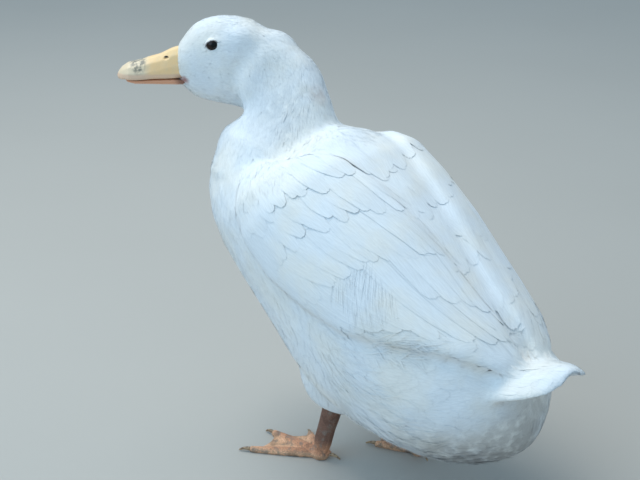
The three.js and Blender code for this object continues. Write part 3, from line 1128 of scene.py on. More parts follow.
@dataclass(frozen=True)
class LidSkin(Finish):
    """Bare lid skin, thin and soft: greyish flesh, finely wrinkled, with a little moisture at its rim."""

    name: str = "eyelid_skin"
    flesh: str = "#c3bfbd"
    crease: str = "#8d8583"
    wrinkles: float = 0.6 * MM

    def sockets(self, tree: bpy.types.NodeTree) -> dict[str, object]:
        """Draws wrinkles as darker noise.

        Args:
            tree: the node tree.

        Returns:
            What the shader's sockets hold.
        """
        where = add_node(tree, "TexCoord").outputs["Object"]
        fine = {"Vector": where, "Scale": 0.5 / self.wrinkles, "Detail": 3.0}
        folds = add_node(tree, "TexNoise", fine).outputs[0]
        bump = add_node(tree, "Bump", {"Strength": 0.4, "Distance": 0.2 * MM, "Height": folds})
        return {
            "Base Color": layered(tree, self.flesh, [Tint(self.crease, 1.0, [(folds, 0.35, 0.65)])]),
            "Roughness": 0.5,
            "Normal": bump.outputs[0],
        }


@dataclass(frozen=True)
class FootSkin(Finish):
    """Scaly foot skin: orange webs, and toes and shanks browned by dried mud, in net-like scales.

    The scales are 1.5 to 2 mm across and stand a little proud; the skin is dry, so it is nearly matt.
    """

    name: str = "foot_skin_scaly"
    web: str = "#ffc9a0"
    toe: str = "#e6a57f"
    shank: str = "#75564a"
    dark: str = "#4a3530"
    mud: str = "#8d8177"
    scale: float = 1.9 * MM
    clouds: float = 7 * MM
    blotches: float = 4 * MM  # how broad the spots of mud are

    def sockets(self, tree: bpy.types.NodeTree) -> dict[str, object]:
        """Draws orange low down, brown up the shank, mud in blotches and dark lines between the scales.

        Args:
            tree: the node tree.

        Returns:
            What the shader's sockets hold.
        """
        where = add_node(tree, "TexCoord").outputs["Object"]
        height = add_node(tree, "SeparateXYZ", {0: where}).outputs[2]
        clouds, blotches = (
            add_node(tree, "TexNoise", {"Vector": where, "Scale": 0.5 / size, "Detail": detail}).outputs[0]
            for size, detail in ((self.clouds, 4.0), (self.blotches, 5.0))
        )
        cells = {"Vector": where, "Scale": 1 / self.scale}
        inward = add_node(tree, "TexVoronoi", cells, feature="DISTANCE_TO_EDGE").outputs["Distance"]
        tints = [
            Tint(self.toe, 1.0, [(height, 3.5 * MM, 8 * MM)]),
            Tint(self.shank, 0.9, [(height, 10 * MM, 26 * MM)]),
            Tint(self.dark, 0.5, [(clouds, 0.48, 0.7)]),
            Tint(self.mud, 0.7, [(blotches, 0.5, 0.66)]),
            Tint(self.dark, 0.45, [(inward, 0.14, 0.0)]),
        ]
        rising = {"Value": inward, "From Min": 0.0, "From Max": 0.35}
        domes = add_node(tree, "MapRange", rising, interpolation_type="SMOOTHSTEP").outputs[0]
        bump = add_node(tree, "Bump", {"Strength": 0.7, "Distance": 0.35 * MM, "Height": domes})
        span = {"Value": clouds, "From Min": 0.2, "From Max": 0.7, "To Min": 0.55, "To Max": 0.8}
        return {
            "Base Color": layered(tree, self.web, tints),
            "Roughness": add_node(tree, "MapRange", span, interpolation_type="SMOOTHSTEP").outputs[0],
            "Specular IOR Level": 0.35,
            "Normal": bump.outputs[0],
        }


@dataclass(frozen=True)
class ClawHorn(Finish):
    """Claw keratin, worn on mud: brownish ivory, smooth with faint growth lines, slightly glossy."""

    name: str = "claw_keratin"
    ivory: str = "#b79a78"
    brown: str = "#6d5442"
    growth: float = 1.2 * MM  # how broad its streaks are

    def sockets(self, tree: bpy.types.NodeTree) -> dict[str, object]:
        """Draws streaky brown over ivory.

        Args:
            tree: the node tree.

        Returns:
            What the shader's sockets hold.
        """
        where = add_node(tree, "TexCoord").outputs["Object"]
        fine = {"Vector": where, "Scale": 0.5 / self.growth, "Detail": 3.0}
        streaks = add_node(tree, "TexNoise", fine).outputs[0]
        bump = add_node(tree, "Bump", {"Strength": 0.3, "Distance": 0.15 * MM, "Height": streaks})
        return {
            "Base Color": layered(tree, self.ivory, [Tint(self.brown, 1.0, [(streaks, 0.35, 0.65)])]),
            "Roughness": 0.42,
            "Normal": bump.outputs[0],
        }


@dataclass(frozen=True)
class StudioFloor(Finish):
    """A matt painted floor, pale grey and a little warm, with the faintest unevenness."""

    name: str = "studio_floor_matt_paint"
    grey: str = "#b9b5ae"
    pale: str = "#c0bcb5"
    clouds: float = 300 * MM

    def sockets(self, tree: bpy.types.NodeTree) -> dict[str, object]:
        """Mixes two close greys in broad clouds.

        Args:
            tree: the node tree.

        Returns:
            What the shader's sockets hold.
        """
        where = add_node(tree, "TexCoord").outputs["Object"]
        broad = {"Vector": where, "Scale": 0.5 / self.clouds, "Detail": 3.0}
        clouds = add_node(tree, "TexNoise", broad).outputs[0]
        greys = {0: clouds, 6: srgb(self.grey), 7: srgb(self.pale)}
        return {
            "Base Color": add_node(tree, "Mix", greys, data_type="RGBA").outputs[2],
            "Roughness": 0.9,
            "Specular IOR Level": 0.1,
        }


# ---------------------------------------------------------------- feathers


@dataclass(frozen=True)
class Vane:
    """The form of one kind of feather."""

    stations: int = 4  # steps along it
    columns: int = 5  # vertices across it
    base: float = 0.75  # its width at the root, as a share of the fullest
    fullest: float = 0.6  # where along it is fullest
    tip: float = 0.8  # its width at the tip, as a share of the fullest
    rounding: float = 0.2  # how far the sides end before the middle, as a share of its length
    fringe: float = 0.15  # how deep the tip is split into points, as a share of its length
    camber: float = 0.12  # how far the edges bend down, as a share of its half width
    roof: float = 0.0  # how much the two halves slope away from the shaft, as a share of the half width
    sink: float = 3 * MM  # how far the root lies under the coat's surface
    lift: float = 0.2 * MM  # how far the tip stands over it
    slope: float = 0.5 * MM  # how much of that height it falls over the length that shows
    soft: float = 0.5  # how much its shading follows the coat's surface, not its own

    def width_at(self, share: Array) -> Array:
        """Works out the width along the feather.

        Args:
            share: shares of its length.

        Returns:
            The width there, as a share of the fullest.
        """
        rising = self.base + (1 - self.base) * np.sin(np.pi / 2 * np.clip(share / self.fullest, 0, 1))
        fall = np.clip((share - self.fullest) / (1 - self.fullest), 0, 1)
        return rising - (1 - self.tip) * fall**2

    def rise_at(self, share: Array) -> Array:
        """The height over the coat's surface at shares of the length."""
        hidden = np.clip(1 - share / 0.3, 0, 1)
        return self.lift - self.slope * (1 - share) - (self.sink - self.slope) * hidden**1.5


@dataclass
class Plumes:
    """Many feathers of one kind: where the shaft of each runs, which way it faces and how large it is."""

    shafts: Array  # (count, stations + 1, 3)
    facing: Array  # the same shape
    lengths: Array  # (count,)
    widths: Array  # (count,)
    roots: Array  # (count, 2), the root's place on the unwrap
    tilts: Array  # (count,), how much higher the left edge lies than the right, as a share of the half width
    heights: Array  # (count,), how much higher each lies than the others

    SIDE_CURVE: ClassVar[float] = 2.8  # how suddenly the sides end short of the middle, as a power
    RAGGED: ClassVar[float] = 0.35  # how uneven the points of the tip are, as a share of their depth
    TONES: ClassVar[tuple[float, float]] = (-0.01, 0.014)  # the middle and the spread of their tones
    TONE_LIMITS: ClassVar[tuple[float, float]] = (-0.05, 0.02)

    def kept(self, chosen: Array) -> "Plumes":
        """Only some of the feathers."""
        parts = (getattr(self, one.name)[chosen] for one in fields(self))
        return Plumes(*parts)

    def mesh(self, name: str, vane: Vane, rng: np.random.Generator, body: Body) -> bpy.types.Mesh:
        """Makes one joined mesh of them all.

        Args:
            name: the mesh's name.
            vane: the form that they share.
            rng: the random source for their tips and tones.
            body: what they hug across their whole width.

        Returns:
            The mesh, with its two maps and each feather's tone.
        """
        count, rows = self.shafts.shape[:2]
        along = np.linspace(0, 1, rows)
        across = np.linspace(-1, 1, vane.columns)
        ways = unit(np.gradient(self.shafts, axis=1))
        sides = unit(np.cross(self.facing, ways))
        half = self.widths[:, None, None] / 2 * vane.width_at(along)[None, :, None] * across
        sag = vane.camber * across**2 + vane.roof * np.abs(across)
        spread = self.widths[:, None, None] / 2 * vane.width_at(along)[None, :, None]
        rise = vane.rise_at(along)[None, :, None] + self.heights[:, None, None] * along[None, :, None] ** 0.5
        rise = rise - sag * spread + self.tilts[:, None, None] * half
        teeth = np.where(np.arange(vane.columns) % 2, 1.0, 0.0) * vane.fringe
        ragged = rng.uniform(-self.RAGGED, self.RAGGED, (count, 1, vane.columns)) * vane.fringe
        ends = np.where(np.arange(rows) == rows - 1, 1.0, 0.0)
        pull = vane.rounding * np.abs(across) ** self.SIDE_CURVE * along[None, :, None]
        pull = pull + (teeth + ragged) * ends[None, :, None]
        points = (
            self.shafts[:, :, None, :]
            + sides[:, :, None, :] * half[..., None]
            - ways[:, :, None, :] * (pull * self.lengths[:, None, None])[..., None]
        )
        places, normals, _ = body.nearest(points.reshape(-1, 3))
        surface = normals.reshape(points.shape)
        points = places.reshape(points.shape) + surface * rise[..., None]
        grid = np.arange(rows * vane.columns).reshape(rows, vane.columns)
        cells = np.stack([grid[:-1, :-1], grid[1:, :-1], grid[1:, 1:], grid[:-1, 1:]], axis=-1)
        quads = (np.arange(count)[:, None, None] * grid.size + cells.reshape(-1, 4)[None]).reshape(-1, 4)
        quads = quads[flat_quads(points.reshape(-1, 3), surface.reshape(-1, 3), quads)]
        used, quads = np.unique(quads, return_inverse=True)
        quads = quads.reshape(-1, 4)
        made = mesh_from(name, points.reshape(-1, 3)[used], quads)
        own_normals = unit(np.cross(np.gradient(points, axis=2), np.gradient(points, axis=1)))
        own_normals *= np.sign(np.sum(own_normals * surface, axis=-1, keepdims=True))
        shading = unit(own_normals * (1 - vane.soft) + surface * vane.soft).reshape(-1, 3)[used]
        patch = np.stack(np.broadcast_arrays(across[None, :] / 2, along[:, None] - 0.5), axis=-1) * PATCH
        bake = np.clip(self.roots, PATCH, 1 - PATCH)[:, None, None, :] + patch[None]
        own = np.stack(np.broadcast_arrays(half, along[None, :, None] * self.lengths[:, None, None]), axis=-1)
        for title, places in ((BAKE_MAP, bake), (VANE_MAP, own)):
            layer = made.uv_layers.new(name=title)
            corners = places.reshape(-1, 2)[used][quads.ravel()]
            layer.uv.foreach_set("vector", corners.astype(np.float32).ravel())
        made.uv_layers.active = made.uv_layers[BAKE_MAP]
        made.polygons.foreach_set("use_smooth", np.ones(len(quads), bool))
        made.normals_split_custom_set_from_vertices(shading.astype(np.float32))
        tones = np.repeat(rng.normal(*self.TONES, count).clip(*self.TONE_LIMITS), grid.size)[used]
        made.attributes.new(TONE, "FLOAT", "POINT").data.foreach_set("value", tones.astype(np.float32))
        return made


def flat_quads(points: Array, surface: Array, quads: Array) -> Array:
    """Finds the faces that lie along the surface they hug, not folded over where it turns sharply.

    Args:
        points: the vertices.
        surface: the way that the surface faces at each.
        quads: four vertices for each face.

    Returns:
        Whether each face is kept.
    """
    a, b, c, d = (points[quads[:, i]] for i in range(4))
    out = surface[quads].mean(axis=1)
    kept = np.ones(len(quads), bool)
    for one, two, three in ((a, b, c), (a, c, d), (b, c, d), (a, b, d)):
        turned = np.cross(two - one, three - one)
        size = np.linalg.norm(turned, axis=1)
        kept &= np.sum(turned * out, axis=1) > 0.1 * size
    return kept & (np.linalg.norm(out, axis=1) > 0.75)


@dataclass(frozen=True)
class Sizes:
    """How a measure of the small feathers grows from the bill back."""

    marks: tuple[float, ...]  # metres from the bill
    values: tuple[float, ...]

    def at(self, share: Array) -> Array:
        """The measure at some distances from the bill."""
        return np.interp(share, self.marks, self.values)


def even(value: float) -> Sizes:
    """A measure, in millimetres, that is the same everywhere."""
    return Sizes((0.0, 1.0), (value * MM, value * MM))


MARKS = (0.00, 0.03, 0.07, 0.11, 0.17, 0.24, 0.35, 0.50)  # metres from the bill
SPACING = Sizes(MARKS, tuple(v * MM for v in (1.35, 1.45, 1.8, 2.3, 2.65, 3.35, 4.7, 5.7)))
LENGTH = Sizes(MARKS, tuple(v * MM for v in (4.2, 5.0, 7.0, 9.5, 12.5, 17.0, 23.0, 28.0)))
WIDTH = Sizes(MARKS, tuple(v * MM for v in (2.3, 2.6, 3.4, 4.9, 6.8, 9.4, 12.5, 15.0)))
WING_MARKS = (-170, -140, -120, -100, -80, -60, -30, 0, 60, 112, 134)  # millimetres forward on the chart
WING_EDGE = (80, 74, 66, 55, 42, 30, 15, 4, 2, 8, 30)  # the degrees where the wing's lower edge lies
WING_ENDS = (-165, 130)  # how far back and forward the wings' large feathers reach


@dataclass(frozen=True)
class Ground:
    """Places on the coat, and where each lies."""

    places: Array
    share: Array  # metres from the bill
    along: Array  # millimetres forward on the trunk's chart
    angles: Array  # degrees up from the left side on it

    def between(self, low: float, high: float) -> Array:
        """Whether the places lie between two distances from the bill."""
        return (self.share >= low) & (self.share < high)

    def edge(self) -> Array:
        """The degrees where the wing's lower edge lies, as far forward as each place."""
        return np.interp(self.along, WING_MARKS, WING_EDGE)

    def on_wing(self, margin: Array | float = 0.0) -> Array:
        """Finds what lies under the wings' large feathers.

        Args:
            margin: how many degrees above their lower edge it starts.

        Returns:
            Whether each place does.
        """
        steep = np.abs(self.angles)
        side = np.where(steep > 90, 180 - steep, steep) * np.sign(self.angles)
        back, front = WING_ENDS
        return (side > self.edge() + margin) & (self.along < front) & (self.along > back)

    def on_tail(self) -> Array:
        """Whether the places lie on the tail, or above it on the wings' tips."""
        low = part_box("tail")[0]
        return (self.places[:, 1] > low.y + 4 * MM) & (self.places[:, 2] > low.z - 6 * MM)

    def by_tail(self) -> Array:
        """Finds the tail and what lies just ahead of it, without the wings' tips and the belly.

        Returns:
            Whether each place belongs to it.
        """
        low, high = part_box("tail")
        back, height = self.places[:, 1], self.places[:, 2]
        return (back > low.y - 6 * MM) & (height > low.z - 6 * MM) & (height < high.z + 6 * MM)

    def behind_neck(self) -> Array:
        """Finds the rear of the neck.

        Returns:
            Whether each place lies there.
        """
        head, neck = centre_of("head"), centre_of("neck")
        back = Vector((neck.x - head.x, neck.y - head.y, 0)).normalized()
        return (self.places - np.array(neck)) @ np.array(back) > 20 * MM


@dataclass
class Coat:
    """Lays feathers on the body and dresses them."""

    body: Body
    lie: Lie
    chart: Chart
    duck: Anatomy
    step_limits: tuple[float, float] = (0.5, 1.8)  # a shaft's step, as laid, over what it should be
    gape_room: float = 5 * MM  # what stays bare round the corners of the mouth
    eye_room: float = 5.7 * MM  # and round the eyes
    eye_depth: float = 14 * MM  # how far out from an eye's middle that holds
    eye_shift: tuple[float, float] = (1.2 * MM, 0.7 * MM)  # the bare oval lies ahead of it and lower

    def ground(self, places: Array) -> Ground:
        """Where some places lie."""
        return Ground(places, self.lie.at(places)[1], *self.chart.read(places))

    def lay(
        self, roots: Array, lengths: Array, stations: int, turns: Array
    ) -> tuple[Array, Array, Array]:
        """Lays shafts along the coat's surface, each with the lie of the coat or turned from it.

        Args:
            roots: where they start.
            lengths: how long each is.
            stations: how many steps each takes.
            turns: how far each is turned from the lie, in radians, to its left.

        Returns:
            The shafts, the way they face, and the roots' places on the unwrap.
        """
        place, normal, root_uv = self.body.nearest(roots)
        shafts, facing = [place], [normal]
        step = (lengths / stations)[:, None]
        for _ in range(stations):
            flow = flat_on(self.lie.at(place)[0], normal)
            way = flow * np.cos(turns)[:, None] + np.cross(normal, flow) * np.sin(turns)[:, None]
            place, normal, _ = self.body.nearest(place + way * step)
            shafts.append(place)
            facing.append(normal)
        return np.stack(shafts, axis=1), np.stack(facing, axis=1), root_uv

    def clear(self, plumes: Plumes) -> Array:
        """Finds the feathers that lie flat, and keep clear of the eyes and the corners of the mouth.

        Args:
            plumes: the feathers, as they were laid.

        Returns:
            Whether each is kept.
        """
        shafts = plumes.shafts
        steps = np.linalg.norm(np.diff(shafts, axis=1), axis=2)
        wanted = (plumes.lengths / steps.shape[1])[:, None]
        least, most = self.step_limits
        clear = (steps > least * wanted).all(axis=1) & (steps < most * wanted).all(axis=1)
        for points in (shafts[:, 0], shafts[:, -1], shafts[:, shafts.shape[1] // 2]):
            for side, eye in self.duck.eyes.items():
                gape = np.array(self.duck.gape(side))
                clear &= np.linalg.norm(points - gape, axis=1) > self.gape_room
                away = points - np.array(eye)
                out = away @ np.array(self.duck.head_left)
                forward, lower = self.eye_shift
                ahead = away @ np.array(self.duck.head_ahead) - forward
                rise = (away[:, 2] + lower) * 1.05
                level = np.hypot(ahead * np.where(ahead > 0, 0.84, 1.0), rise)
                clear &= (level > self.eye_room) | (np.abs(out) > self.eye_depth)
        return clear

    def dress(
        self, name: str, plumes: Plumes, vane: Vane, rng: np.random.Generator, finish: Finish
    ) -> None:
        """Makes one coat piece and puts it in the scene."""
        link(name, plumes.mesh(name, vane, rng, self.body), finish)


DOWN = Plumage("white_feather_down", strands=0.12 * MM)
VANES = Plumage("white_feather_vane", barbs=1.1 * MM, relief=0.035 * MM)


@dataclass(frozen=True)
class Tract:
    """A stretch of small feathers scattered over the body."""

    name: str
    seed: int
    vane: Vane
    where: Callable[[Ground], Array]
    spacing: Sizes = SPACING
    length: Sizes = LENGTH
    width: Sizes = WIDTH
    splay: float = 8.0  # how far they turn from the lie at random, in degrees
    loose: float = 0.04 * MM  # how unevenly the tips stand
    finish: Finish = DOWN
    turn: float = 0.0  # how far all of them turn from the lie to its left, in degrees

    def build(self, coat: Coat) -> None:
        """Scatters the feathers and dresses them.

        Args:
            coat: what lays them.
        """
        rng = np.random.default_rng(self.seed)

        def gaps(places: Array) -> Array:
            """The distance between feathers at some places, and 0 where this tract has none."""
            ground = coat.ground(places)
            return np.where(self.where(ground), self.spacing.at(ground.share), 0.0)

        roots = coat.body.scatter(gaps, rng)
        _, share = coat.lie.at(roots)
        lengths = self.length.at(share) * rng.uniform(0.82, 1.15, len(roots))
        turns = np.radians(rng.normal(0, self.splay, len(roots))) + np.radians(self.turn)
        shafts, facing, root_uv = coat.lay(roots, lengths, self.vane.stations, turns)
        plumes = Plumes(
            shafts,
            facing,
            lengths,
            self.width.at(share) * rng.uniform(0.85, 1.1, len(roots)),
            root_uv,
            rng.normal(0, 0.012, len(roots)),
            rng.normal(0, self.loose, len(roots)),
        )
        coat.dress(self.name, plumes.kept(coat.clear(plumes)), self.vane, rng, self.finish)


Spot = tuple[float, float]  # on the trunk's chart: millimetres forward, and degrees up from the side


def through(first: Spot, middle: Spot, last: Spot, share: Array) -> Array:
    """Draws a bowed line through three spots of the chart.

    Args:
        first: where it starts.
        middle: what it passes half way.
        last: where it ends.
        share: the shares of its length that are wanted.

    Returns:
        The spots at those shares, one row each.
    """
    a, b, c = (np.array(spot)[None, :] for spot in (first, middle, last))
    t = np.asarray(share)[:, None]
    return a * (1 - t) * (1 - 2 * t) + b * 4 * t * (1 - t) + c * t * (2 * t - 1)


@dataclass(frozen=True)
class Row:
    """A row of large feathers of one wing, from its lowest to the one nearest the back."""

    name: str
    count: int
    width: float  # in millimetres
    vane: Vane
    roots: tuple[Spot, Spot, Spot]  # what the roots pass, from the lowest feather up
    tips: tuple[Spot, Spot, Spot]  # the same for the tips
    stack: tuple[float, float]  # how high the first and the last lie over the coat, in millimetres
    bow: float = 0.0  # how far each swings towards the back half way along, in degrees
    tilt: float = 0.032  # each lies over the one below it
    uneven: float = 3.6  # how far roots and tips stray, in millimetres

    def plumes(self, coat: Coat, side: Side, rng: np.random.Generator) -> Plumes:
        """Lays the row on one side of the duck.

        Args:
            coat: what lays it.
            side: which wing.
            rng: the random source.

        Returns:
            The row's feathers.
        """
        share = np.linspace(0, 1, self.count)
        roots = through(*self.roots, share) + rng.normal(0, self.uneven, (self.count, 2)) * (1, 0.5)
        tips = through(*self.tips, share) + rng.normal(0, self.uneven, (self.count, 2)) * (1, 0.5)
        steps = np.linspace(0, 1, self.vane.stations + 1)[None, :]
        along = roots[:, :1] + (tips[:, :1] - roots[:, :1]) * steps
        angles = roots[:, 1:] + (tips[:, 1:] - roots[:, 1:]) * steps + self.bow * 4 * steps * (1 - steps)
        if side is Side.RIGHT:
            angles = 180 - angles
        spots = coat.chart.place(along, angles)
        places, normals, root_uv = coat.body.nearest(spots.reshape(-1, 3))
        lengths = np.linalg.norm(np.diff(spots, axis=1), axis=2).sum(axis=1)
        first, last = self.stack
        return Plumes(
            places.reshape(spots.shape),
            normals.reshape(spots.shape),
            lengths,
            self.width * MM * rng.uniform(0.92, 1.06, self.count),
            root_uv.reshape(self.count, -1, 2)[:, 0],
            rng.normal(self.tilt, 0.006, self.count) * -side.value,
            np.linspace(first * MM, last * MM, self.count) + rng.normal(0, 0.03 * MM, self.count),
        )


FLIGHT = Vane(
    stations=16,
    columns=11,
    base=0.7,
    fullest=0.55,
    tip=0.72,
    rounding=0.09,
    fringe=0.006,
    camber=0.01,
    roof=0.01,
    slope=0.4 * MM,
)
SHOULDER = Vane(
    stations=12,
    columns=11,
    fullest=0.58,
    tip=0.66,
    rounding=0.15,
    fringe=0.01,
    camber=0.015,
    roof=0.01,
    sink=2.5 * MM,
    lift=0.15 * MM,
    slope=0.25 * MM,
)
COVERT = Vane(
    stations=8,
    columns=9,
    tip=0.7,
    fringe=0.012,
    camber=0.015,
    roof=0.01,
    sink=2.5 * MM,
    lift=0.1 * MM,
    slope=0.2 * MM,
)
TAIL = Vane(
    stations=9,
    columns=7,
    base=0.7,
    tip=0.7,
    rounding=0.14,
    fringe=0.01,
    camber=0.01,
    sink=2 * MM,
    lift=0.1 * MM,
    slope=0.35 * MM,
    soft=0.7,
)


@dataclass
class FoldedWings:
    """The large feathers of both folded wings and the shoulders, in their rows."""

    coat: Coat
    seed: int = 41
    rows: tuple[Row, ...] = (
        Row(
            "primaries", 6, 17, FLIGHT,
            roots=((-30, 46), (-50, 64), (-62, 80)),
            tips=((-150, 74), (-168, 82), (-182, 89)),
            stack=(-0.5, -0.4),
            bow=-4,
        ),
        Row(
            "secondaries", 11, 23, FLIGHT,
            roots=((62, 6), (48, 40), (30, 74)),
            tips=((-38, 24), (-94, 57), (-138, 86)),
            stack=(-0.2, 0.0),
            bow=-3,
        ),
        Row(
            "tertials", 6, 28, FLIGHT,
            roots=((44, 58), (24, 74), (6, 90)),
            tips=((-64, 66), (-92, 80), (-114, 93)),
            stack=(0.2, 0.3),
            bow=2,
        ),
        Row(
            "greater_coverts", 14, 18, COVERT,
            roots=((72, 3), (60, 34), (46, 66)),
            tips=((-4, 14), (-10, 44), (-28, 73)),
            stack=(0.1, 0.2),
        ),
        Row(
            "median_coverts", 13, 18, COVERT,
            roots=((96, 4), (92, 34), (84, 64)),
            tips=((44, 7), (44, 38), (34, 68)),
            stack=(0.1, 0.2),
        ),
        Row(
            "lesser_coverts", 13, 16, COVERT,
            roots=((114, 8), (114, 34), (108, 62)),
            tips=((76, 6), (78, 34), (72, 62)),
            stack=(0.1, 0.2),
        ),
        Row(
            "shoulder_coverts", 12, 15, COVERT,
            roots=((130, 16), (132, 38), (128, 60)),
            tips=((98, 8), (100, 34), (96, 60)),
            stack=(0.0, 0.1),
        ),
        Row(
            "scapulars_long", 7, 29, SHOULDER,
            roots=((60, 58), (48, 76), (32, 95)),
            tips=((-26, 70), (-46, 85), (-56, 103)),
            stack=(0.4, 0.5),
            bow=3,
        ),
        Row(
            "scapulars_middle", 7, 26, SHOULDER,
            roots=((96, 54), (86, 74), (74, 95)),
            tips=((28, 62), (14, 80), (2, 100)),
            stack=(0.45, 0.55),
            bow=2,
        ),
        Row(
            "scapulars_short", 7, 23, SHOULDER,
            roots=((124, 50), (118, 72), (108, 95)),
            tips=((76, 56), (66, 76), (56, 97)),
            stack=(0.5, 0.6),
        ),
    )

    def build(self) -> None:
        """Lays and dresses each row, a piece for each side."""
        for i, row in enumerate(self.rows):
            rng = np.random.default_rng(self.seed + i)
            for side in Side:
                plumes = row.plumes(self.coat, side, rng)
                self.coat.dress(f"{row.name}_{side.word}", plumes, row.vane, rng, VANES)


# ---------------------------------------------------------------- bill, eyes and legs


@dataclass
class Bill:
    """The broad bill: its upper and lower halves with a rolled cutting edge, nostrils and the nail."""

    frame: dict
    duck: Anatomy
    voxel: float = 0.75 * MM
    rounds: int = 7
    root_reach: float = 6 * MM  # how far its root runs on into the head

    def build(self) -> None:
        """Builds both halves."""
        upper = self.half("bill_upper", ("upper_bill", "bill_nail"), 0.3 * MM)
        lower = self.half("bill_lower", ("lower_bill",), 0.1 * MM, 0.35)
        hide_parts("upper_bill", "bill_nail")
        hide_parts("lower_bill")

    def half(self, name: str, nodes: tuple[str, ...], swell: float, pink: float = 0.0) -> bpy.types.Object:
        """Makes one half from its solids, rounded over, its root pushed on into the head.

        Args:
            name: the piece's name.
            nodes: the CAD nodes that it follows.
            swell: how far the solids are swelled to join them.
            pink: how much of it has the cutting edge's colour.

        Returns:
            The piece.
        """
        copies = [swelled_copy(self.frame["nodes"][node].data, swell) for node in nodes]
        mesh = remeshed(name, copies, self.voxel)
        points = smoothed(mesh, self.rounds)
        along = (points - np.array(self.duck.bill_root)) @ np.array(self.duck.head_ahead)
        push = (1 - ease(along, 0.0, 9 * MM)) * self.root_reach
        points -= np.array(self.duck.head_ahead) * push[:, None]
        points[:, 2] += self.lift_at(points, along, name == "bill_lower")
        move_vertices(mesh, points)
        finish = BillHorn(f"{name}_keratin_waxy", duck=self.duck, lowered=pink)
        piece = link(name, mesh, finish)
        return piece

    def lift_at(self, points: Array, along: Array, lower: bool) -> Array:
        """How far each vertex rises, so that the cutting edges meet and the tip is full.

        Args:
            points: the vertices.
            along: how far each lies ahead of the bill's root.
            lower: whether this is the lower half.

        Returns:
            The rise of each.
        """
        if lower:
            return np.full(len(points), 1.8 * MM)
        tip = float((self.duck.bill_tip - self.duck.bill_root).dot(self.duck.head_ahead))
        rise = points[:, 2] - self.duck.bill_root.z
        under = 1 - ease(rise, -14 * MM, -4 * MM)
        edge = 2.6 * MM * ease(along, 8 * MM, 36 * MM) * (1 - ease(along, tip - 9 * MM, tip)) * under
        full = 2.4 * MM * ease(along, tip - 24 * MM, tip - 6 * MM) * (1 - under)
        return edge + full


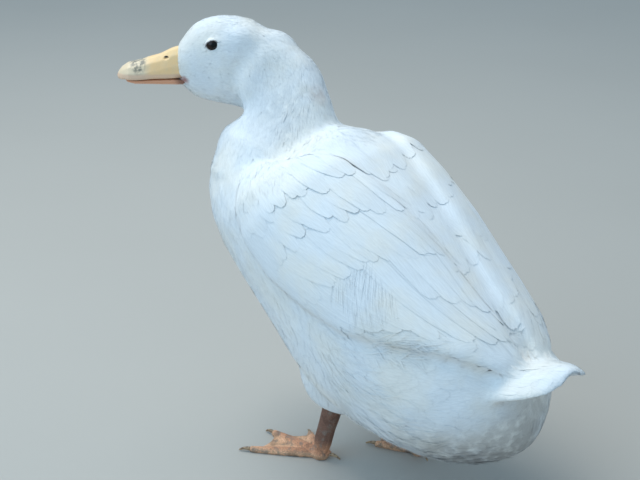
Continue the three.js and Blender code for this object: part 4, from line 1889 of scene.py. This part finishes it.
@dataclass
class Eyes:
    """The eyes and the lids round them."""

    duck: Anatomy
    segments: int = 40
    rings: int = 24
    lid_radius: float = 5.3 * MM  # the middle of the lid's rim, out from the eye's axis
    lid_thick: float = 0.6 * MM
    corner: float = 0.30  # how much further out the rim lies in its front corner
    flat: float = 0.94  # how high the opening is for its length
    forward: float = 1.2 * MM  # how far the eyeball sits ahead of its solid
    lowered: float = 0.5 * MM  # and under it
    bulge: float = 0.35 * MM  # how far the cornea stands out of the ball
    rim_rise: float = 0.15 * MM  # how far the lids' rim stands off the ball
    orbit_rise: float = 0.4 * MM  # and the skin round the lids
    orbit_end: float = math.radians(100)  # how far round the ball that skin runs
    oval_end: tuple[float, float] = (1.12, 0.1)  # where the oval turns round, and over what, in lid radii
    lid_steps: int = 48

    def build(self) -> None:
        """Builds both eyes and their lids."""
        for side in Side:
            self.ball(side)
            self.orbit(side)
            self.lids(side)

    def turned(self, side: Side) -> Matrix:
        """Turns +Z out along an eye's axis and moves it to the eye's middle.

        Args:
            side: which eye.

        Returns:
            The matrix that does so.
        """
        axis = self.duck.head_left * side.value
        turn = Vector((0, 0, 1)).rotation_difference(axis).to_matrix().to_4x4()
        return Matrix.Translation(self.middle(side)) @ turn

    def middle(self, side: Side) -> Vector:
        """The middle of one eyeball."""
        return self.duck.eyes[side] + self.duck.head_ahead * self.forward - Vector((0, 0, self.lowered))

    def ball(self, side: Side) -> None:
        """Makes one eyeball, its cornea bulging a little.

        Args:
            side: which eye.
        """
        form = bmesh.new()
        bmesh.ops.create_uvsphere(
            form, u_segments=self.segments, v_segments=self.rings, radius=self.duck.eye_radius
        )
        for vertex in form.verts:
            front = max(0.0, vertex.co.z / self.duck.eye_radius - 0.75) / 0.25
            vertex.co.z += self.bulge * front * front
        bmesh.ops.transform(form, matrix=self.turned(side), verts=form.verts)
        name = f"eyeball_{side.word}"
        piece = link(name, mesh_of(name, form), EyeGloss(duck=self.duck))
        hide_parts(f"eye_{side.word}")

    def height_at(self, far: float) -> float:
        """How far out of the eye's middle the lids' rim lies, at a distance from the eye's axis."""
        radius = self.duck.eye_radius
        return math.sqrt(max(radius**2 - far**2, (0.45 * radius) ** 2)) + self.rim_rise

    def orbit(self, side: Side) -> None:
        """Makes the feathered skin round the lids: a zone of a sphere, which hides the rest of the eyeball.

        Args:
            side: which eye.
        """
        radius = self.duck.eye_radius + self.orbit_rise
        start = math.asin(min(0.98, self.lid_radius / radius))
        form = bmesh.new()
        line = [
            form.verts.new((radius * math.sin(angle), 0, radius * math.cos(angle)))
            for angle in np.linspace(start, self.orbit_end, 7).tolist()
        ]
        for pair in zip(line, line[1:]):
            form.edges.new(pair)
        self.finish_ring(f"orbit_skin_{side.word}", side, form, Plumage())

    def lids(self, side: Side) -> None:
        """Makes one ring of lid skin, spun round the eye's axis and oval.

        Args:
            side: which eye.
        """
        form = bmesh.new()
        bmesh.ops.create_circle(form, segments=10, radius=self.lid_thick)
        height = self.height_at(self.lid_radius)
        stand = Matrix.Rotation(math.radians(90), 4, "X")
        bmesh.ops.transform(form, matrix=stand, verts=form.verts)
        bmesh.ops.translate(form, vec=(self.lid_radius, 0, height), verts=form.verts)
        self.finish_ring(f"eyelids_{side.word}", side, form, LidSkin())

    def finish_ring(
        self, name: str, side: Side, form: bmesh.types.BMesh, finish: Finish
    ) -> None:
        """Spins a profile round the eye's axis, draws it into the lids' oval and puts it in the scene.

        Args:
            name: the piece's name.
            side: which eye.
            form: the profile, with the eye's axis as +Z.
            finish: what covers it.
        """
        bmesh.ops.spin(
            form,
            geom=[*form.verts, *form.edges],
            cent=(0, 0, 0),
            axis=(0, 0, 1),
            angle=math.tau,
            steps=self.lid_steps,
            use_merge=True,
        )
        bmesh.ops.remove_doubles(form, verts=form.verts, dist=0.01 * MM)
        bmesh.ops.recalc_face_normals(form, faces=form.faces)
        bmesh.ops.transform(form, matrix=self.turned(side), verts=form.verts)
        middle = self.middle(side)
        outwards = self.duck.head_left * side.value
        turn, over = self.oval_end
        for vertex in form.verts:
            away = vertex.co - middle
            ahead, rise, out = away.dot(self.duck.head_ahead), away.z, away.dot(outwards)
            far = math.hypot(ahead, rise)
            front = max(0.0, ahead / far) ** 4
            stretch = 1 + self.corner * front
            rim = self.lid_radius * stretch
            out += self.height_at(rim) - self.height_at(self.lid_radius)
            outer = min(1.0, max(0.0, (far / self.lid_radius - turn) / over))
            ahead, rise = ahead * stretch, rise * (self.flat + (1 - self.flat) * outer)
            vertex.co = middle + self.duck.head_ahead * ahead + outwards * out + Vector((0, 0, rise))
        link(name, mesh_of(name, form), finish)


@dataclass
class Legs:
    """The shanks, webbed feet and claws."""

    frame: dict
    duck: Anatomy
    voxel: float = 1.0 * MM
    rounds: int = 5
    sole: float = 0.7 * MM  # what lies lower than this is pressed flat on the floor
    top_reach: float = 14 * MM  # how far the shank runs up under the thigh's feathers
    claw_voxel: float = 0.5 * MM

    def build(self) -> None:
        """Builds each leg and its claws."""
        for side in Side:
            self.leg(side)
            for toe in ("inner", "middle", "outer", "hind"):
                self.claw(f"claw_{toe}_{side.word}")

    def leg(self, side: Side) -> None:
        """Makes the shank and foot of one side as one skin.

        Args:
            side: which leg.
        """
        nodes = (f"tarsus_{side.word}", f"foot_{side.word}")
        copies = [swelled_copy(self.frame["nodes"][node].data, 0.25 * MM) for node in nodes]
        mesh = remeshed(f"leg_{side.word}", copies, self.voxel)
        before = vertices_of(mesh)
        points = smoothed(mesh, self.rounds)
        flat = before[:, 2] < self.sole
        points[flat, 2] = 0.0
        points[:, 2] = np.maximum(points[:, 2], 0.0)
        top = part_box(nodes[0])[1].z
        points[:, 2] += ease(points[:, 2], top - 8 * MM, top) * self.top_reach
        move_vertices(mesh, points)
        piece = link(f"leg_{side.word}", mesh, FootSkin())
        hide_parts(*nodes)

    def claw(self, node: str) -> None:
        """Makes one claw, rounded over.

        Args:
            node: the CAD node that it follows.
        """
        copies = [swelled_copy(self.frame["nodes"][node].data, 0.1 * MM)]
        mesh = remeshed(f"{node}_horn", copies, self.claw_voxel)
        points = smoothed(mesh, 3)
        points[:, 2] = np.maximum(points[:, 2], 0.0)
        move_vertices(mesh, points)
        piece = link(f"{node}_horn", mesh, ClawHorn())
        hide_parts(node)


# ---------------------------------------------------------------- studio


@dataclass
class Studio:
    """The floor, the lamps and the camera."""

    azimuth: float = 136.0  # degrees; 0 looks along +Y
    elevation: float = 21.0
    distance: float = 1.38
    lens: float = 78.75
    aim: Vector = field(default_factory=lambda: Vector((-19.7, -85.4, 200)) * MM)
    lit: Vector = field(default_factory=lambda: Vector((0, 0, 0.22)))  # what the lamps are turned to
    floor_size: float = 8.0

    def build(self) -> None:
        """Sets up all of it."""
        self.lay_floor()
        self.hang_lamps()
        self.set_camera()

    def hold(
        self, name: str, thing: bpy.types.ID, target: Vector, azimuth: float, elevation: float, far: float
    ) -> bpy.types.Object:
        """Places a lamp or a camera, turned to its target.

        Args:
            name: its name.
            thing: the lamp or camera.
            target: what it is turned to.
            azimuth: where it hangs round the target, in degrees.
            elevation: how high, in degrees.
            far: how far away, in metres.

        Returns:
            The object that holds it.
        """
        turn, lift = math.radians(azimuth), math.radians(elevation)
        level = math.cos(lift)
        way = Vector((math.sin(turn) * level, -math.cos(turn) * level, math.sin(lift)))
        holder = bpy.data.objects.new(name, thing)
        bpy.context.scene.collection.objects.link(holder)
        holder.location = target + way * far
        holder.rotation_euler = (-way).to_track_quat("-Z", "Y").to_euler()
        return holder

    def lay_floor(self) -> None:
        """Lays a broad plane just under the feet."""
        form = bmesh.new()
        bmesh.ops.create_grid(form, x_segments=1, y_segments=1, size=self.floor_size / 2)
        mesh = mesh_of("floor", form)
        floor = bpy.data.objects.new("floor", mesh)
        bpy.context.scene.collection.objects.link(floor)
        mesh.materials.append(StudioFloor().material())

    def hang_lamps(self) -> None:
        """Hangs a warm key lamp above, a cool broad fill at the side, and pale light all round."""
        lamps = (  # azimuth, elevation, distance and side in metres, watts, colour
            ("key_lamp", 15.0, 66.0, 2.2, 1.3, 30.0, "#fffdf6"),
            ("fill_lamp", 80.0, 32.0, 2.6, 2.2, 25.0, "#b9defa"),
        )
        for name, azimuth, elevation, far, size, watts, tint in lamps:
            light = bpy.data.lights.new(name, "AREA")
            light.shape = "SQUARE"
            light.size = size
            light.energy = watts
            light.color = srgb(tint)[:3]
            self.hold(name, light, self.lit, azimuth, elevation, far)
        world = bpy.data.worlds.new("studio")
        bpy.context.scene.world = world
        world.use_nodes = True
        ground = world.node_tree.nodes["Background"]
        ground.inputs["Color"].default_value = srgb("#bfdcf2")
        ground.inputs["Strength"].default_value = 0.69

    def set_camera(self) -> None:
        """Puts the camera behind the duck's left side, a little above it."""
        camera = bpy.data.cameras.new("camera")
        camera.lens = self.lens
        camera.sensor_width = 36.0
        holder = self.hold("camera", camera, self.aim, self.azimuth, self.elevation, self.distance)
        bpy.context.scene.camera = holder
        bpy.context.scene.view_settings.view_transform = "Standard"


# ---------------------------------------------------------------- the small feathers


def flat_vane(
    stations: int, columns: int, sink: float, slope: float, fringe: float, rounding: float = 0.28,
    lift: float = 0.0, soft: float = 0.7,
) -> Vane:
    """Describes a small feather that lies flat, with sink, slope and lift in millimetres.

    Args:
        stations: steps along it.
        columns: vertices across it.
        sink: how far the root lies under the coat's surface.
        slope: how much its height falls over the length that shows.
        fringe: how deep the tip is split, as a share of its length.
        rounding: how far the sides end before the middle, as a share of its length.
        lift: how far the tip stands over the coat's surface.
        soft: how much its shading follows the coat's surface.

    Returns:
        Its form.
    """
    heights = {"sink": sink * MM, "lift": lift * MM, "slope": slope * MM}
    return Vane(stations, columns, rounding=rounding, fringe=fringe, camber=0.0, soft=soft, **heights)


TRACTS = (
    Tract(
        "face_feathers", 1, flat_vane(3, 5, 0.5, 0.15, 0.1, 0.3, soft=0.8),
        lambda ground: ground.share < 0.066,
        splay=6,
        loose=0.03 * MM,
    ),
    Tract(
        "head_feathers", 2, flat_vane(4, 5, 0.9, 0.18, 0.1, 0.3, soft=0.8),
        lambda ground: ground.between(0.062, 0.12),
        loose=0.03 * MM,
    ),
    Tract(
        "neck_feathers", 3, flat_vane(5, 5, 1.2, 0.18, 0.08, 0.3, soft=0.8),
        lambda ground: ground.between(0.115, 0.2),
    ),
    Tract(
        "breast_feathers", 4, flat_vane(5, 7, 1.8, 0.22, 0.05, soft=0.75),
        lambda ground: ground.between(0.195, 0.29) & ~ground.on_wing(6.0),
    ),
    Tract(
        "belly_feathers", 5, flat_vane(5, 7, 2.2, 0.3, 0.05),
        lambda ground: (ground.share >= 0.285)
        & ~ground.on_wing(7.0 * (ground.along > -22))
        & ~ground.on_tail(),
        splay=10,
        loose=0.06 * MM,
    ),
    Tract(
        "back_feathers", 6, flat_vane(5, 7, 3, 0.4, 0.04, lift=-0.5),
        lambda ground: (ground.share >= 0.2) & ground.on_wing() & ~ground.on_tail(),
    ),
    Tract(
        "tail_feathers", 7, TAIL,
        lambda ground: (ground.share >= 0.2) & ground.by_tail(),
        even(5.0), even(30), even(14),
        splay=4,
        finish=VANES,
    ),
)


def wisps(
    name: str, seed: int, gap: float, length: float, width: float, lift: float,
    where: Callable[[Ground], Array], splay: float = 16, turn: float = 0.0,
) -> Tract:
    """Describes loose single barbs and locks that lie over the feathers, in millimetres.

    Args:
        name: the piece's name.
        seed: its random seed.
        gap: the distance between them.
        length: how long each is.
        width: how wide each is.
        lift: how high their tips stand.
        where: where they grow.
        splay: how far they turn from the lie at random, in degrees.
        turn: how far all of them turn from it to the left, in degrees.

    Returns:
        Their tract.
    """
    form = Vane(
        stations=6,
        columns=3,
        base=0.8,
        fullest=0.4,
        tip=0.15,
        rounding=0.0,
        fringe=0.0,
        camber=0.25,
        sink=1 * MM,
        lift=lift * MM,
        slope=lift * MM + 0.15 * MM,
    )
    sizes = (even(gap), even(length), even(width))
    return Tract(name, seed, form, where, *sizes, splay, lift * 0.4 * MM, turn=turn)


WISPS = (
    wisps(
        "head_wisps", 11, 2.6, 9, 0.8, 0.3,
        lambda ground: ground.between(0.03, 0.115),
        splay=9,
    ),
    wisps(
        "nape_wisps", 12, 4.5, 13, 1.4, 0.5,
        lambda ground: ground.between(0.1, 0.2) & ground.behind_neck(),
        splay=14,
    ),
    wisps(
        "belly_wisps", 13, 5.0, 24, 0.9, 1.2,
        lambda ground: (ground.places[:, 1] > 0.03) & (ground.angles < 12),
    ),
    wisps(
        "vent_wisps", 14, 4.0, 22, 0.8, 2.0,
        lambda ground: (ground.places[:, 1] > 0.12) & (ground.angles < -8),
        splay=24,
    ),
    wisps(
        "flank_wisps", 15, 2.6, 15, 1.3, 1.2,
        lambda ground: (ground.along > -98)
        & (ground.along < -62)
        & (ground.angles < ground.edge() + 2)
        & (ground.angles > ground.edge() - 12),
        splay=26,
    ),
    wisps(
        "wing_barbs", 16, 2.8, 27, 0.7, 0.35,
        lambda ground: (ground.along > -38)
        & (ground.along < 6)
        & (ground.angles > 34)
        & (ground.angles < 54),
        splay=4,
        turn=-52.0,
    ),
)


def soiling_and_painted_shade(duck: Anatomy) -> list[StainAndShadeMark]:
    """Says where the duck's white is darkened: dirt marks at nape and gape, a grey darkening below the tail
    and low on the belly, and painted shade on the neck's near side.

    Args:
        duck: the landmarks.

    Returns:
        The stains, from the lowest up.
    """
    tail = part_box("tail")[0]
    marks = (  # the place, the reach in millimetres, the colour and the strength
        # a grey darkening below the tail, and a broader, stronger one low on the rear belly
        (tail + Vector((47.4, 25.6, -22.9)) * MM, (70, 60, 45), "#96918c", 0.4),
        (tail + Vector((57.4, -14.4, -74.9)) * MM, (132, 112, 78), "#918d8a", 0.9),
        (duck.by_head(-96, 52, -42), (15, 15, 16), "#b3957f", 0.42),
        (duck.by_head(-82, 54, -36), (12, 12, 12), "#c9bb96", 0.32),
        # painted shade: a grey cast that darkens the near side of the neck
        (duck.by_head(-60, 60, -60), (55, 40, 62), "#c6cdd2", 0.7),
        *((duck.gape(side), (8, 8, 7), "#9c544a", 1.0) for side in Side),
    )
    return [StainAndShadeMark(place, Vector(reach) * MM, colour, strength) for place, reach, colour, strength in marks]


def main() -> None:
    """Builds the duck in its frame, then the studio round it."""
    logging.basicConfig(level=logging.INFO, format="%(name)s: %(message)s")
    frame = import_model()
    duck = Anatomy.read()
    Studio().build()
    lie = Lie.of(duck)
    # the marks of dirt and the painted shade go into every plumage finish
    Plumage.stains.extend(soiling_and_painted_shade(duck))
    body = Body(frame, duck, lie)
    body.build()
    chart = Chart(duck, body.tree)
    coat = Coat(body, lie, chart, duck)
    for tract in (*TRACTS, *WISPS):
        tract.build(coat)
    FoldedWings(coat).build()
    Bill(frame, duck).build()
    Eyes(duck).build()
    Legs(frame, duck).build()


if __name__ == "__main__":
    main()
